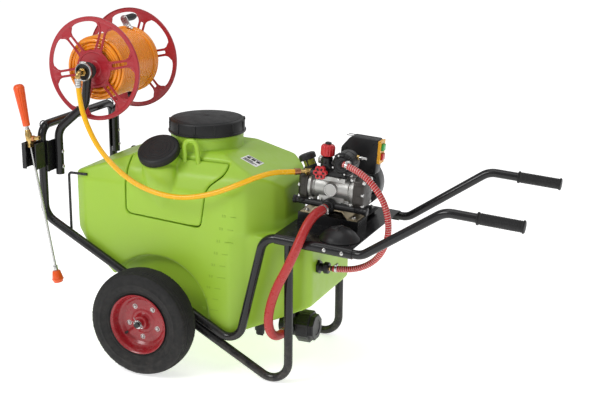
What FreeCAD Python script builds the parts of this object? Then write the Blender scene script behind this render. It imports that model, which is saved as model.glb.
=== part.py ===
import FreeCAD, Part
import math
import os

# Wheeled sprayer cart: a tube frame on two pneumatic wheels carries a moulded tank, a motor pump on a
# deck plate, and a hose reel on two stands.  Millimetres.  +X points at the handles, +Y to the side away
# from the lance, +Z up.  The parts are laid out from the ground point under the middle of the axle, and
# moved by FRAME_SHIFT_X when they are saved, so that the origin is the middle of the footprint.

V = FreeCAD.Vector
FRAME_SHIFT_X = -406.8

# ---- driving dimensions -----------------------------------------------------------------------------
WHEEL_R = 200.0
WHEEL_Y = 360.0
TYRE_HALF = 52.0
RIM_FLANGE_R = 113.0
BOLT_CIRCLE_R = 61.5
RIM_BOLTS = 5
AXLE_R = 10.0
AXLE_Z = WHEEL_R
AXLE_HALF = 414.0
HUB_R = 17.0

TUBE_R = 16.0
TUBE_WALL = 2.0
FRAME_Y = 252.0
UPRIGHT_X = -477.0
LEG_X = 530.0
CROSSBAR_Z = 862.0
SLOPE = 0.545
LOOP_Z0 = 258.3

RAIL_X0 = 477.0
RAIL_Z0 = 547.0
DECK_TILT = 3.6
DECK_Z0 = RAIL_Z0 + TUBE_R + 0.3
DECK_LENGTH = 291.0
DECK_T = 3.0

GRIP_Y = 285.0
GRIP_R = 22.5

STAND_X = -434.0
STAND_Y = 204.0
REEL_X = -307.0
REEL_Z = 1072.0
REEL_R = 194.0
FLANGE_Y = 147.0
REEL_SPOKES = 6
SPOKE_PHASE = 12
ARM_Y = (213.0, 219.0)
KNOB_AT = (REEL_X - 79, REEL_Z + 137)
DRUM_R = 58.0
WOUND_R = 127.0

TANK_Y = 232.0
TANK_WALL = 5.0
LID_X = 93.0
LID_Y = -10.0
LID_R = 145.0
LID_Z = 850.0
NECK_R = 126.0
NECK_TOP = 877.0
COLLAR_R = 136.0

PUMP_S = 130.0
PUMP_Y = -30.0
PUMP_H = 140.0
MOTOR_H = 100.0
MOTOR_R = 82.0
HEAD_HALF = 55.0
HEAD_HIGH = 58.0
HEAD_CORNER = 22.0

SUCTION_D = 33.0
BYPASS_D = 23.0
DELIVERY_D = 19.0

SIDES = (("left", -1), ("right", 1))


# ---- helpers ----------------------------------------------------------------------------------------
def save(name, shape):
    """Move a finished shape into the saved frame and write it as one node."""
    moved = shape.copy()
    moved.translate(V(FRAME_SHIFT_X, 0, 0))
    moved.exportStep("parts/" + name + ".step")
    print(name, round(shape.Volume / 1000.0, 1), "cm3", "valid" if shape.isValid() else "INVALID")


def arc_path(points, radii):
    """Wire of straight runs joined by tangent arcs; radii is one number or one per inner point."""
    pts = [V(*p) for p in points]
    inner = len(pts) - 2
    rs = [radii] * inner if isinstance(radii, (int, float)) else list(radii)
    edges = []
    start = pts[0]
    for i in range(1, len(pts) - 1):
        u1 = (pts[i] - pts[i - 1]).normalize()
        u2 = (pts[i + 1] - pts[i]).normalize()
        turn = u1.getAngle(u2)
        reach = rs[i - 1] * math.tan(turn / 2)
        a = pts[i] - u1 * reach
        b = pts[i] + u2 * reach
        inward = (u2 - u1).normalize()
        mid = pts[i] + inward * (rs[i - 1] / math.cos(turn / 2) - rs[i - 1])
        if (a - start).Length > 1e-4:
            edges.append(Part.LineSegment(start, a).toShape())
        edges.append(Part.Arc(a, mid, b).toShape())
        start = b
    if (pts[-1] - start).Length > 1e-4:
        edges.append(Part.LineSegment(start, pts[-1]).toShape())
    return Part.Wire(edges)


def sweep(wire, radius):
    """Round bar of the given radius along a wire."""
    first = wire.OrderedEdges[0]
    at = first.valueAt(first.FirstParameter)
    along = first.tangentAt(first.FirstParameter)
    ring = Part.Wire([Part.makeCircle(radius, at, along)])
    return Part.Wire(wire.OrderedEdges).makePipeShell([ring], True, False)


def tube(points, radii, radius=TUBE_R, wall=TUBE_WALL):
    """Hollow bent tube."""
    wire = arc_path(points, radii)
    return sweep(wire, radius).cut(sweep(wire, radius - wall))


def rod(points, radii, radius):
    """Solid bent rod."""
    return sweep(arc_path(points, radii), radius)


def cord_radii(points):
    """Arc radius at each inner point: 0.45 of the shorter run over the tangent of half the turn."""
    pts = [V(*p) for p in points]
    radii = []
    for i in range(1, len(pts) - 1):
        back = pts[i] - pts[i - 1]
        ahead = pts[i + 1] - pts[i]
        half = back.getAngle(ahead) / 2
        radii.append(0.45 * min(back.Length, ahead.Length) / math.tan(half))
    return radii


def cord(name, points, diameter):
    """Plain tube of a hose along a hand-listed route."""
    radii = cord_radii(points)
    wire = arc_path(points, radii)
    solid = sweep(wire, diameter / 2)
    ideal = math.pi * (diameter / 2) ** 2 * wire.Length
    print(name, "length", round(wire.Length), "volume ratio", round(solid.Volume / ideal, 4))
    print("  radii/diameter", [round(r / diameter, 1) for r in radii])
    return solid


def cyl(radius, start, end):
    """Solid cylinder between two points."""
    a, b = V(*start), V(*end)
    return Part.makeCylinder(radius, (b - a).Length, a, b - a)


def ring(outer, inner, start, end):
    """Tube between two points."""
    return cyl(outer, start, end).cut(cyl(inner, start, end))


def cone(r1, r2, start, end):
    """Solid cone between two points."""
    a, b = V(*start), V(*end)
    return Part.makeCone(r1, r2, (b - a).Length, a, b - a)


def block(x0, x1, y0, y1, z0, z1):
    """Box from its limits."""
    return Part.makeBox(x1 - x0, y1 - y0, z1 - z0, V(x0, y0, z0))


def face_of(points):
    """Planar face from corner points."""
    return Part.Face(Part.makePolygon([V(*p) for p in points] + [V(*points[0])]))


def fuse(*shapes):
    """One solid from several that touch."""
    out = shapes[0].fuse(list(shapes[1:])) if len(shapes) > 1 else shapes[0]
    return out.removeSplitter()


def group(*shapes):
    """Several separate solids kept as one node."""
    solids = []
    for shape in shapes:
        solids.extend(shape.Solids)
    return Part.makeCompound(solids)


def thick_profile(points, t):
    """Closed outline of a sheet t thick to the left of an open (r, y) polyline, with mitred corners."""
    n = len(points)
    normals = []
    for i in range(n - 1):
        dr, dy = points[i + 1][0] - points[i][0], points[i + 1][1] - points[i][1]
        length = math.hypot(dr, dy)
        normals.append((-dy / length, dr / length))
    shifted = []
    for i in range(n):
        n1, n2 = normals[max(i - 1, 0)], normals[min(i, n - 2)]
        k = t / (1 + n1[0] * n2[0] + n1[1] * n2[1])
        shifted.append((points[i][0] + (n1[0] + n2[0]) * k, points[i][1] + (n1[1] + n2[1]) * k))
    return list(points) + shifted[::-1]


def spun(profile, centre, axis=V(0, 1, 0)):
    """Solid of revolution about the Y line through centre, from (r, y) points."""
    face = face_of([(centre[0] + r, centre[1] + y, centre[2]) for r, y in profile])
    return face.revolve(V(*centre), axis, 360)


def on_deck(shape):
    """Deck parts are drawn as (along the rail, sideways, above the plate) and then placed on the rails."""
    placed = shape.copy()
    placed.rotate(V(0, 0, 0), V(0, 1, 0), DECK_TILT)
    placed.translate(V(RAIL_X0, 0, DECK_Z0))
    return placed


# ---- frame ------------------------------------------------------------------------------------------
BOTTOM_BEND = 68.0
LEG_CORNER_Z = LOOP_Z0 - SLOPE * LEG_X
SPLIT_Z = 790.0


def rail_z(x):
    """Height of the rail's axis."""
    return RAIL_Z0 - math.tan(math.radians(DECK_TILT)) * (x - RAIL_X0)


def rail_points(side):
    """Axis of the tube that lies on the loop, climbs to the deck, and becomes rail and handle."""
    y = side * FRAME_Y
    over = 2 * TUBE_R + 0.4
    lift = over * math.hypot(1, SLOPE)
    return [
        (70, y, LOOP_Z0 + lift - SLOPE * 70),
        (328, y, LOOP_Z0 + lift - SLOPE * 328),
        (435, y, rail_z(435)),
        (801, y, rail_z(801)),
        (1098, side * GRIP_Y, 727),
        (1360, side * GRIP_Y, 710),
    ]


RAIL_BENDS = [60, 60, 60, 80]


def rail_tube(side):
    return tube(rail_points(side), RAIL_BENDS)


def loop_tube(side):
    y = side * FRAME_Y
    points = [
        (UPRIGHT_X, y, SPLIT_Z),
        (UPRIGHT_X, y, LOOP_Z0 - SLOPE * UPRIGHT_X),
        (LEG_X, y, LEG_CORNER_Z),
        (LEG_X, y, rail_z(LEG_X)),
    ]
    rail_outside = sweep(arc_path(rail_points(side), RAIL_BENDS), TUBE_R)
    bent = tube(points, [70, BOTTOM_BEND])
    solids = bent.cut(rail_outside).Solids
    return max(solids, key=lambda s: s.Volume)


def crossbar():
    points = [
        (UPRIGHT_X, -FRAME_Y, SPLIT_Z),
        (UPRIGHT_X, -FRAME_Y, CROSSBAR_Z),
        (UPRIGHT_X, FRAME_Y, CROSSBAR_Z),
        (UPRIGHT_X, FRAME_Y, SPLIT_Z),
    ]
    return tube(points, 48)


GUSSET_T = 5.0


def axle():
    """Axle bar with the two gusset plates that hang it under the loop tubes."""
    bar = cyl(AXLE_R, (0, -AXLE_HALF, AXLE_Z), (0, AXLE_HALF, AXLE_Z))
    for side in (-1, 1):
        y0 = side * FRAME_Y - GUSSET_T / 2
        top = LOOP_Z0 - TUBE_R * math.hypot(1, SLOPE)
        front, back = top + SLOPE * 52 - 1, top - SLOPE * 52 - 1
        corners = [(-52, front), (52, back), (24, AXLE_Z - 26), (-24, AXLE_Z - 26)]
        plate = face_of([(x, y0, z) for x, z in corners]).extrude(V(0, GUSSET_T, 0))
        bar = bar.fuse(plate)
    return bar.removeSplitter()


def deck_plate():
    """Flat plate with rolled edges outside both rails, a box riser for the pump and a drain hole."""
    sheet = block(3, 3 + DECK_LENGTH, -FRAME_Y, FRAME_Y, 0, DECK_T)
    roll_r = TUBE_R + 0.3
    parts = [sheet]
    for side in (-1, 1):
        y = side * FRAME_Y
        roll = ring(roll_r + DECK_T, roll_r, (3, y, -roll_r), (3 + DECK_LENGTH, y, -roll_r))
        keep = block(0, 300, min(y, y + side * 40), max(y, y + side * 40), -40, 10)
        under = block(0, 300, min(y, y - side * 12), max(y, y - side * 12), -40, -roll_r)
        parts.append(roll.common(keep.fuse(under)))
    riser = block(*RISER_S, *RISER_Y, DECK_T - 0.5, RISER_H)
    (s0, s1), (y0, y1) = RISER_S, RISER_Y
    parts.append(riser.cut(block(s0 + 3, s1 - 3, y0 + 3, y1 - 3, DECK_T - 1, RISER_H - 3)))
    plate = fuse(*parts)
    plate = plate.cut(cyl(CAP_R - 12, (CAP_S, CAP_Y, -5), (CAP_S, CAP_Y, 8)))
    for s, y in MOUNT_SPOTS:
        plate = plate.cut(cyl(4.2, (s, y, -5), (s, y, 8)))
    for s, y in FOOT_SPOTS:
        plate = plate.cut(cyl(4.2, (s, y, RISER_H - 5), (s, y, RISER_H + 2)))
    plate = plate.cut(cyl(4, (PUMP_S, PUMP_Y, -5), (PUMP_S, PUMP_Y, 8)))
    for side in (-1, 1):
        for s in RAIL_BOLT_S:
            y = side * FRAME_Y
            plate = plate.cut(cyl(4.2, (s, y, -roll_r), (s, y + side * 30, -roll_r)))
    return on_deck(plate)


CAP_S, CAP_Y, CAP_R, CAP_RISE = 214.0, -178.0, 72.0, 44.0
MOUNT_SPOTS = [(55, 95), (205, 95), (55, 175), (205, 175)]
RAIL_BOLT_S = (193.0, 258.0)
FOOT_SPOTS = [(40, -62), (220, -62), (40, 2), (220, 2)]
RISER_S, RISER_Y, RISER_H = (14.0, 246.0), (-84.0, 12.0), 41.0


def deck_cap():
    """Domed cover of the round hole in the deck, with a finger ridge across it."""
    sphere_r = (CAP_R ** 2 + CAP_RISE ** 2) / (2 * CAP_RISE)
    ball = Part.makeSphere(sphere_r, V(CAP_S, CAP_Y, DECK_T + CAP_RISE - sphere_r))
    dome = ball.common(block(CAP_S - 90, CAP_S + 90, CAP_Y - 90, CAP_Y + 90, DECK_T, 60))
    inside = Part.makeSphere(sphere_r - 3, V(CAP_S, CAP_Y, DECK_T + CAP_RISE - sphere_r))
    dome = dome.cut(inside.common(block(CAP_S - 90, CAP_S + 90, CAP_Y - 90, CAP_Y + 90, DECK_T - 1, 60)))
    ridge = block(CAP_S - 2.5, CAP_S + 2.5, CAP_Y - 60, CAP_Y + 2, DECK_T, DECK_T + CAP_RISE + 5)
    big = Part.makeSphere(sphere_r + 4, V(CAP_S, CAP_Y, DECK_T + CAP_RISE - sphere_r))
    ridge = ridge.common(big).cut(inside)
    return on_deck(fuse(dome, ridge))


def dome_bolt(point, direction, shank, radius=4.0, head=8.0):
    """Domed bolt: head at point, shank running against direction."""
    p, d = V(*point), V(*direction).normalize()
    stem = Part.makeCylinder(radius, shank, p - d * shank, d)
    cap = Part.makeSphere(head, p - d * (head * 0.35))
    cap = cap.common(Part.makeCylinder(head, head, p, d))
    return stem.fuse(cap).removeSplitter()


BRACKET_Z = (690.0, 806.0)
STAND_BOLT_Z = (697.0 + 5, 760.0)


def frame_bolts():
    """Identical domed M8 bolts: two in each deck edge and two through each reel stand."""
    bolts = []
    roll_out = TUBE_R + 0.3 + DECK_T
    for side in (-1, 1):
        for s in RAIL_BOLT_S:
            y = side * (FRAME_Y + roll_out)
            bolts.append(on_deck(dome_bolt((s, y, -TUBE_R - 0.3), (0, side, 0), DECK_T)))
        for z in STAND_BOLT_Z:
            y = side * STAND_Y
            bolts.append(dome_bolt((STAND_X + TUBE_R, y, z), (1, 0, 0), 2 * TUBE_R + BRACKET_T + 9))
            bolts.append(ring(7.5, 4.0, (STAND_X - TUBE_R - BRACKET_T - 7, y, z),
                              (STAND_X - TUBE_R - BRACKET_T, y, z)))
    return group(*bolts)


BRACKET_T = 4.0


def bracket_plates():
    """Plates that carry the reel stands, welded to the uprights."""
    plates = []
    for side in (-1, 1):
        x1 = STAND_X - TUBE_R
        y_in, y_out = side * (STAND_Y - 18), side * (FRAME_Y + 6)
        plate = block(x1 - BRACKET_T, x1, min(y_in, y_out), max(y_in, y_out), *BRACKET_Z)
        upright = cyl(TUBE_R, (UPRIGHT_X, side * FRAME_Y, 600), (UPRIGHT_X, side * FRAME_Y, 850))
        web = block(UPRIGHT_X, x1 - BRACKET_T, side * FRAME_Y - 2, side * FRAME_Y + 2, *BRACKET_Z)
        plate = plate.fuse(web).cut(upright)
        for z in STAND_BOLT_Z:
            plate = plate.cut(cyl(4.0, (x1 - 10, side * STAND_Y, z), (x1 + 5, side * STAND_Y, z)))
        plates.append(plate.removeSplitter())
    return group(*plates)


BEARING_Y = (168.0, 198.0)
BEARING_R = 31.0


def stand_points(side):
    return [
        (STAND_X, side * STAND_Y, 672),
        (STAND_X, side * STAND_Y, 842),
        (-322, side * 187, 943),
        (REEL_X, side * 184, REEL_Z),
    ]


def reel_stand(side):
    """Bent tube from the bracket up to the reel bearing."""
    stand = tube(stand_points(side), [70, 60], TUBE_R)
    housing = cyl(BEARING_R, (REEL_X, side * 160, REEL_Z), (REEL_X, side * 210, REEL_Z))
    stand = stand.cut(housing)
    for z in STAND_BOLT_Z:
        stand = stand.cut(cyl(4.0, (STAND_X - 30, side * STAND_Y, z), (STAND_X + 30, side * STAND_Y, z)))
    return max(stand.Solids, key=lambda s: s.Volume)


SHAFT_R = 12.0


def reel_bearings():
    """Two plummer rings that carry the reel's shaft."""
    rings = []
    for side in (-1, 1):
        a, b = sorted((side * BEARING_Y[0], side * BEARING_Y[1]))
        rings.append(ring(BEARING_R, SHAFT_R + 0.05, (REEL_X, a, REEL_Z), (REEL_X, b, REEL_Z)))
    return group(*rings)


def tank_hooks():
    """Bent rods, welded to the loop tubes, that hook over the tank's front corners."""
    rods = []
    for side in (-1, 1):
        y = side * (FRAME_Y - TUBE_R - 5.2)
        points = [
            (-378, y, LOOP_Z0 + SLOPE * 378 - 6),
            (-378, y, 689),
            (-300, side * 229, 689),
        ]
        rods.append(rod(points, 12, 5))
    return group(*rods)


LANCE_Y = -300.0
LANCE_FOOT = (-401.0, LANCE_Y, 272.0)
LANCE_DIR = (-0.176, 0.0, 0.984)
HOLDER_Z = (711.0, 808.0)


def lance_at(d):
    """Point on the lance's axis, d millimetres above the nozzle's tip."""
    length = math.hypot(LANCE_DIR[0], LANCE_DIR[2])
    return tuple(LANCE_FOOT[i] + LANCE_DIR[i] / length * d for i in range(3))


def lance_holder():
    """Channel on the left upright, open on top and outwards, that the lance stands in."""
    y_in = -FRAME_Y - TUBE_R
    x0, x1, y_out, t = -518, -456, -324, 4
    back = block(x0, x1, y_in - t, y_in, *HOLDER_Z)
    rear = block(x1 - t, x1, y_out, y_in, *HOLDER_Z)
    front = block(x0, x0 + t, y_out, y_in, *HOLDER_Z)
    lip = block(x0, x0 + 16, y_out, y_out + t, *HOLDER_Z)
    return fuse(back, rear, front, lip)


# ---- wheels -----------------------------------------------------------------------------------------
def tyre(side):
    """Hollow tyre: a C-shaped section, open at the beads."""
    outer = [(106, -31), (118, -44), (150, -TYRE_HALF), (176, -49), (190, -38), (198, -20), (WHEEL_R, 0)]
    outer = outer + [(r, -y) for r, y in outer[-2::-1]]
    inner = [(106, -23), (120, -35), (150, -43), (172, -41), (184, -30), (190, -14), (191, 0)]
    inner = inner + [(r, -y) for r, y in inner[-2::-1]]
    return spun(outer + inner[::-1], (0, side * WHEEL_Y, AXLE_Z))


DISC_OUT = 3.0
DISC_IN = -2.1


def rim(side):
    """Two pressed half rims clamped by bolts, with the hub tube through both."""
    bore = HUB_R + 0.01
    out = [(RIM_FLANGE_R, 39), (105.5, 33.5), (103, 30), (101, 13), (92, 9), (88, DISC_OUT), (34, DISC_OUT),
           (bore, 16)]
    half_out = spun([(r, side * y) for r, y in thick_profile(out, -2.5)], (0, side * WHEEL_Y, AXLE_Z))
    back = [(RIM_FLANGE_R, -39), (105.5, -33.5), (103, -30), (101, -13), (92, -6), (88, DISC_IN),
            (34, DISC_IN), (bore, -16)]
    half_in = spun([(r, side * y) for r, y in thick_profile(back, 2.5)], (0, side * WHEEL_Y, AXLE_Z))
    hub = ring(HUB_R, AXLE_R + 0.08, (0, side * (WHEEL_Y - 34), AXLE_Z), (0, side * (WHEEL_Y + 40), AXLE_Z))
    solids = [half_out.cut(hub), half_in.cut(hub).cut(half_out), hub]
    for i in range(RIM_BOLTS):
        angle = math.radians(-21.6 + 360 / RIM_BOLTS * i)
        x, z = BOLT_CIRCLE_R * math.cos(angle), AXLE_Z + BOLT_CIRCLE_R * math.sin(angle)
        y = side * (WHEEL_Y + DISC_OUT)
        bolt = dome_bolt((x, y, z), (0, side, 0), 14, 3.5, 7.5)
        solids = [s.cut(bolt) for s in solids[:3]] + solids[3:] + [bolt]
    return group(*solids)


def axle_clips():
    """Washer and cross pin outside each wheel."""
    clips = []
    for side in (-1, 1):
        face = WHEEL_Y + 40.4
        clips.append(ring(15, AXLE_R, (0, side * face, AXLE_Z), (0, side * (face + 3), AXLE_Z)))
        clips.append(cyl(2, (-17, side * (face + 6), AXLE_Z + 8), (14, side * (face + 6), AXLE_Z - 12)))
    return group(*clips)


# ---- grips ------------------------------------------------------------------------------------------
def grips():
    """Moulded hand grips with a flange at each end, pushed over the tube ends."""
    out = []
    for side in (-1, 1):
        p = [V(*q) for q in rail_points(side)[-2:]]
        d = (p[1] - p[0]).normalize()
        a, b = p[1] - d * 154, p[1] + d * 5
        body = Part.makeCylinder(GRIP_R - 3, (b - a).Length, a, d)
        body = body.fuse([Part.makeCylinder(GRIP_R, 6, a, d), Part.makeCylinder(GRIP_R, 6, b - d * 6, d)])
        body = body.cut(Part.makeCylinder(TUBE_R, (p[1] - a).Length, a, d))
        out.append(body.removeSplitter())
    return group(*out)


# ---- tank -------------------------------------------------------------------------------------------
SIDE_VIEW = [(-372, 690), (-375, 482), (-196, 309), (-96, 175), (-60, 145), (285, 140), (352, 166),
             (592, 284), (592, 532), (478, 536), (458, 560), (446, 690), (412, 724), (225, 802), (-30, 808), (-300, 716)]
UPPER_PLAN = [(-376, 165), (-360, 205), (-310, TANK_Y), (305, TANK_Y), (345, 218), (425, 140), (452, 90)]
LOWER_PLAN = [(-376, 165), (-360, 205), (-310, TANK_Y), (285, TANK_Y), (350, 206), (575, 202), (593, 185)]
FRONT_VIEW = [(TANK_Y, 120), (TANK_Y, 672), (212, 728), (150, 796), (90, 830)]
SPLIT_LEVEL = 528.0
ARCH_R = 212.0


def inset_face(points, inset):
    """Polygon face drawn in by the wall thickness."""
    face = face_of(points)
    return face if inset == 0 else face.makeOffset2D(-inset)


def tank_form(inset):
    """Tank body drawn in by inset: side view, plan and front view intersected, then recessed."""
    side = inset_face([(x, 0, z) for x, z in SIDE_VIEW], inset)
    side.translate(V(0, -300, 0))
    side = side.extrude(V(0, 600, 0))
    front_loop = FRONT_VIEW + [(-y, z) for y, z in FRONT_VIEW[::-1]]
    front = inset_face([(0, y, z) for y, z in front_loop], inset)
    front.translate(V(-500, 0, 0))
    front = front.extrude(V(1300, 0, 0))
    bodies = []
    for plan, z0, z1 in ((UPPER_PLAN, SPLIT_LEVEL - 60, 900), (LOWER_PLAN, 50, SPLIT_LEVEL)):
        loop = plan + [(x, -y) for x, y in plan[::-1]]
        face = inset_face([(x, y, 0) for x, y in loop], inset)
        face.translate(V(0, 0, z0))
        bodies.append(face.extrude(V(0, 0, z1 - z0)))
    lower = bodies[1]
    upper = bodies[0]
    form = upper.fuse(lower).common(side).common(front)
    for side_sign in (-1, 1):
        y0 = side_sign * (190 - inset)
        arch = cyl(ARCH_R + inset, (-15, y0, 195), (-15, side_sign * 300, 195))
        form = form.cut(arch)
    groove = block(-20 - inset, 20 + inset, -300, 300, 100, AXLE_Z + 24 + inset)
    return form.cut(groove).removeSplitter()


AUX_FACE = [(-137, 560), (172, 538), (196, 690), (262, 742), (262, 850), (-137, 850)]
AUX_DEPTH = (-260.0, -162.0)
AUX_NECK_TOP = V(-5, -213, 816)
AUX_NECK_DIR = V(0, -0.5, 0.866)
AUX_CAP_R = 78.0


def aux_region(inset, y0, y1):
    """Space that the hand-wash tank takes out of the main tank."""
    face = inset_face([(x, 0, z) for x, z in AUX_FACE], inset)
    face.translate(V(0, y0, 0))
    return face.extrude(V(0, y1 - y0, 0))


def neck_bore(radius, z0, z1):
    return cyl(radius, (LID_X, LID_Y, z0), (LID_X, LID_Y, z1))


def tank_shell():
    """Moulded main tank, open at the filling neck, with a pocket for the hand-wash tank."""
    outer = tank_form(0).fuse([neck_bore(NECK_R, 780, NECK_TOP), neck_bore(COLLAR_R, 785, LID_Z)])
    outer = outer.cut(aux_region(0, *AUX_DEPTH))
    inner = tank_form(TANK_WALL)
    pocket = aux_region(-TANK_WALL, AUX_DEPTH[0], AUX_DEPTH[1] + TANK_WALL)
    inner = inner.cut(pocket)
    shell = outer.cut(inner).cut(neck_bore(NECK_R - 6, 760, NECK_TOP + 5))
    for hook in tank_hooks().Solids:
        shell = shell.cut(hook)
    shell = shell.cut(drain_hole()).cut(outlet_hole()).cut(return_hole())
    return max(shell.removeSplitter().Solids, key=lambda s: s.Volume)


def aux_tank():
    """Hand-wash tank that sits in the main tank's pocket, with its tilted neck and carrying loop."""
    body = tank_form(0).common(aux_region(1.0, AUX_DEPTH[0], AUX_DEPTH[1] - 1.0))
    body = max(body.Solids, key=lambda s: s.Volume)
    top = AUX_NECK_TOP - AUX_NECK_DIR * 24
    neck = Part.makeCylinder(64, 60, top - AUX_NECK_DIR * 60, AUX_NECK_DIR)
    foot = V(18, -206, 582)
    rise = top - AUX_NECK_DIR * 46 - foot
    blend = Part.makeCone(16, 63, rise.Length, foot, rise)
    keep = block(-150, 260, -330, AUX_DEPTH[1] - 1.0, 545, 850)
    thread = Part.makeCylinder(60, 16, top, AUX_NECK_DIR)
    solid = body.fuse([neck, blend, thread]).common(keep)
    hollow = tank_form(TANK_WALL).common(aux_region(1.0 + TANK_WALL, AUX_DEPTH[0], AUX_DEPTH[1] - TANK_WALL))
    throat = Part.makeCylinder(54, 90, top - AUX_NECK_DIR * 70, AUX_NECK_DIR)
    loop = rod([(84, -175, 752), (84, -175, 843), (132, -175, 845), (140, -175, 752)], 18, 9)
    solid = solid.fuse(loop).cut(hollow).cut(throat)
    return max(solid.removeSplitter().Solids, key=lambda s: s.Volume)


def aux_cap():
    """Screw cap of the hand-wash tank."""
    top = AUX_NECK_TOP
    cap = Part.makeCylinder(AUX_CAP_R, 26, top - AUX_NECK_DIR * 26, AUX_NECK_DIR)
    lid = Part.makeCylinder(60.5, 21, top - AUX_NECK_DIR * 26.5, AUX_NECK_DIR)
    under = Part.makeCylinder(64.5, 3, top - AUX_NECK_DIR * 26.5, AUX_NECK_DIR)
    return cap.cut(lid).cut(under)


def main_lid():
    """Screw lid of the filling neck: skirt, low dome and lugs round the edge."""
    skirt = cyl(LID_R - 5, (LID_X, LID_Y, LID_Z + 0.5), (LID_X, LID_Y, LID_Z + 49))
    dome_r = 900.0
    dome = Part.makeSphere(dome_r, V(LID_X, LID_Y, LID_Z + 59 - dome_r))
    dome = dome.common(cyl(LID_R - 11, (LID_X, LID_Y, LID_Z + 40), (LID_X, LID_Y, LID_Z + 70)))
    rim_ring = cyl(LID_R, (LID_X, LID_Y, LID_Z + 0.5), (LID_X, LID_Y, LID_Z + 9))
    lid = fuse(skirt, dome, rim_ring)
    return lid.cut(neck_bore(NECK_R + 0.6, LID_Z - 1, LID_Z + 39))


DRAIN = (350.0, -100.0)
OUTLET = (475.0, -70.0)
RETURN = (592.0, -130.0, 420.0)


def drain_hole():
    return cyl(14, (DRAIN[0], DRAIN[1], 120), (DRAIN[0], DRAIN[1], 200))


def outlet_hole():
    return cyl(16, (OUTLET[0], OUTLET[1], 200), (OUTLET[0], OUTLET[1], 270))


def return_hole():
    return cyl(14, (RETURN[0] - 12, RETURN[1], RETURN[2]), (RETURN[0] + 5, RETURN[1], RETURN[2]))


def drain_plug():
    """Drain fitting under the lowest part of the tank, with its screw plug."""
    x, y = DRAIN
    form = tank_form(0)
    collar = cyl(21, (x, y, 128), (x, y, 172)).cut(form)
    collar = max(collar.Solids, key=lambda s: s.Volume)
    stem = cyl(13.5, (x, y, 128), (x, y, 190))
    plug = cyl(17, (x, y, 112), (x, y, 128))
    return fuse(collar, stem, plug)


# ---- suction filter ---------------------------------------------------------------------------------
FILTER_Y, FILTER_Z = -70.0, 160.0
FILTER_X = (425.0, 500.0, 568.0)
FILTER_PORT_Y = -160.0


def filter_body():
    """Filter bowl under the tank, with the tank stub on top and the hose stub on its left side."""
    y, z = FILTER_Y, FILTER_Z
    bowl = cyl(42, (FILTER_X[0], y, z), (FILTER_X[1], y, z))
    stub = cyl(15.5, (OUTLET[0], y, z + 30), (OUTLET[0], y, 252))
    nut = cyl(24, (OUTLET[0], y, z + 30), (OUTLET[0], y, 212))
    side = cyl(14, (OUTLET[0], y - 30, z), (OUTLET[0], FILTER_PORT_Y, z))
    body = fuse(bowl, stub, nut, side)
    body = body.cut(cyl(38, (FILTER_X[0] + 4, y, z), (FILTER_X[1] + 1, y, z)))
    body = body.cut(cyl(10, (OUTLET[0], y, z), (OUTLET[0], y, 260)))
    return body.cut(cyl(10, (OUTLET[0], FILTER_PORT_Y - 1, z), (OUTLET[0], y, z)))



def filter_cap():
    """Eight-sided screw cap of the filter, with its screen inside."""
    y, z = FILTER_Y, FILTER_Z
    corners = [(FILTER_X[1] + 0.5, y + 58 * math.cos(math.radians(22.5 + 45 * i)),
                z + 58 * math.sin(math.radians(22.5 + 45 * i))) for i in range(8)]
    cap = face_of(corners).extrude(V(FILTER_X[2] - FILTER_X[1] - 18, 0, 0))
    cap = cap.fuse(cyl(50, (FILTER_X[1] + 10, y, z), (FILTER_X[2], y, z)))
    cap = cap.cut(cyl(46, (FILTER_X[1] - 1, y, z), (FILTER_X[2] - 8, y, z)))
    screen = ring(30, 28, (FILTER_X[0] + 8, y, z), (FILTER_X[2] - 8, y, z))
    return fuse(cap, screen)


def return_fitting():
    """Threaded bulkhead fitting, nut and hose tail on the tank's rear wall."""
    x, y, z = RETURN
    tail = cyl(9, (x + 30, y, z), (x + 58, y, z))
    nut = cyl(20, (x + 26, y, z), (x + 44, y, z))
    thread = cyl(15, (x, y, z), (x + 26, y, z))
    flange = cyl(23, (x, y, z), (x + 9, y, z))
    inside = cyl(13.5, (x - 14, y, z), (x, y, z))
    return fuse(tail, nut, thread, flange, inside).cut(cyl(6, (x - 20, y, z), (x + 70, y, z)))


# ---- pump -------------------------------------------------------------------------------------------
HEAD_S = ((5.0, 43.0), (217.0, 255.0))
MANIFOLD = (-70.0, 81.5)
CASE_Y = (12.0, 60.0)
CRANK_Y = (-72.0, 56.0)


def pump_body():
    """Aluminium crankcase between the heads, with the gear case behind it."""
    y, h = PUMP_Y, PUMP_H
    barrel = cyl(44, (HEAD_S[0][1], y, h), (HEAD_S[1][0], y, h))
    lip_a = cyl(52, (HEAD_S[0][1], y, h), (HEAD_S[0][1] + 12, y, h))
    lip_b = cyl(52, (HEAD_S[1][0] - 12, y, h), (HEAD_S[1][0], y, h))
    belly = block(PUMP_S - 48, PUMP_S + 48, -64, CASE_Y[0] + 1, 70, 184)
    boss = cyl(24, (PUMP_S, -64, h), (PUMP_S, -80, h))
    case = cyl(54, (PUMP_S, CASE_Y[0], h - 8), (PUMP_S, CASE_Y[1], h - 8))
    drop = cyl(42, (PUMP_S, CASE_Y[0], MOTOR_H), (PUMP_S, CASE_Y[1], MOTOR_H))
    body = fuse(barrel, lip_a, lip_b, belly, boss, case, drop)
    body = body.cut(cyl(34, (HEAD_S[0][1] - 1, y, h), (HEAD_S[1][0] + 1, y, h)))
    body = body.cut(cyl(12.05, (PUMP_S, CRANK_Y[0] - 1, h), (PUMP_S, CRANK_Y[1], h)))
    body = body.cut(cyl(32, (PUMP_S, 28, h), (PUMP_S, 54, h)))
    body = body.cut(cyl(12, (PUMP_S, 28, MOTOR_H), (PUMP_S, 54, MOTOR_H)))
    body = body.cut(cyl(8.05, (PUMP_S, 22, MOTOR_H), (PUMP_S, 70, MOTOR_H)))
    return on_deck(body)


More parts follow.
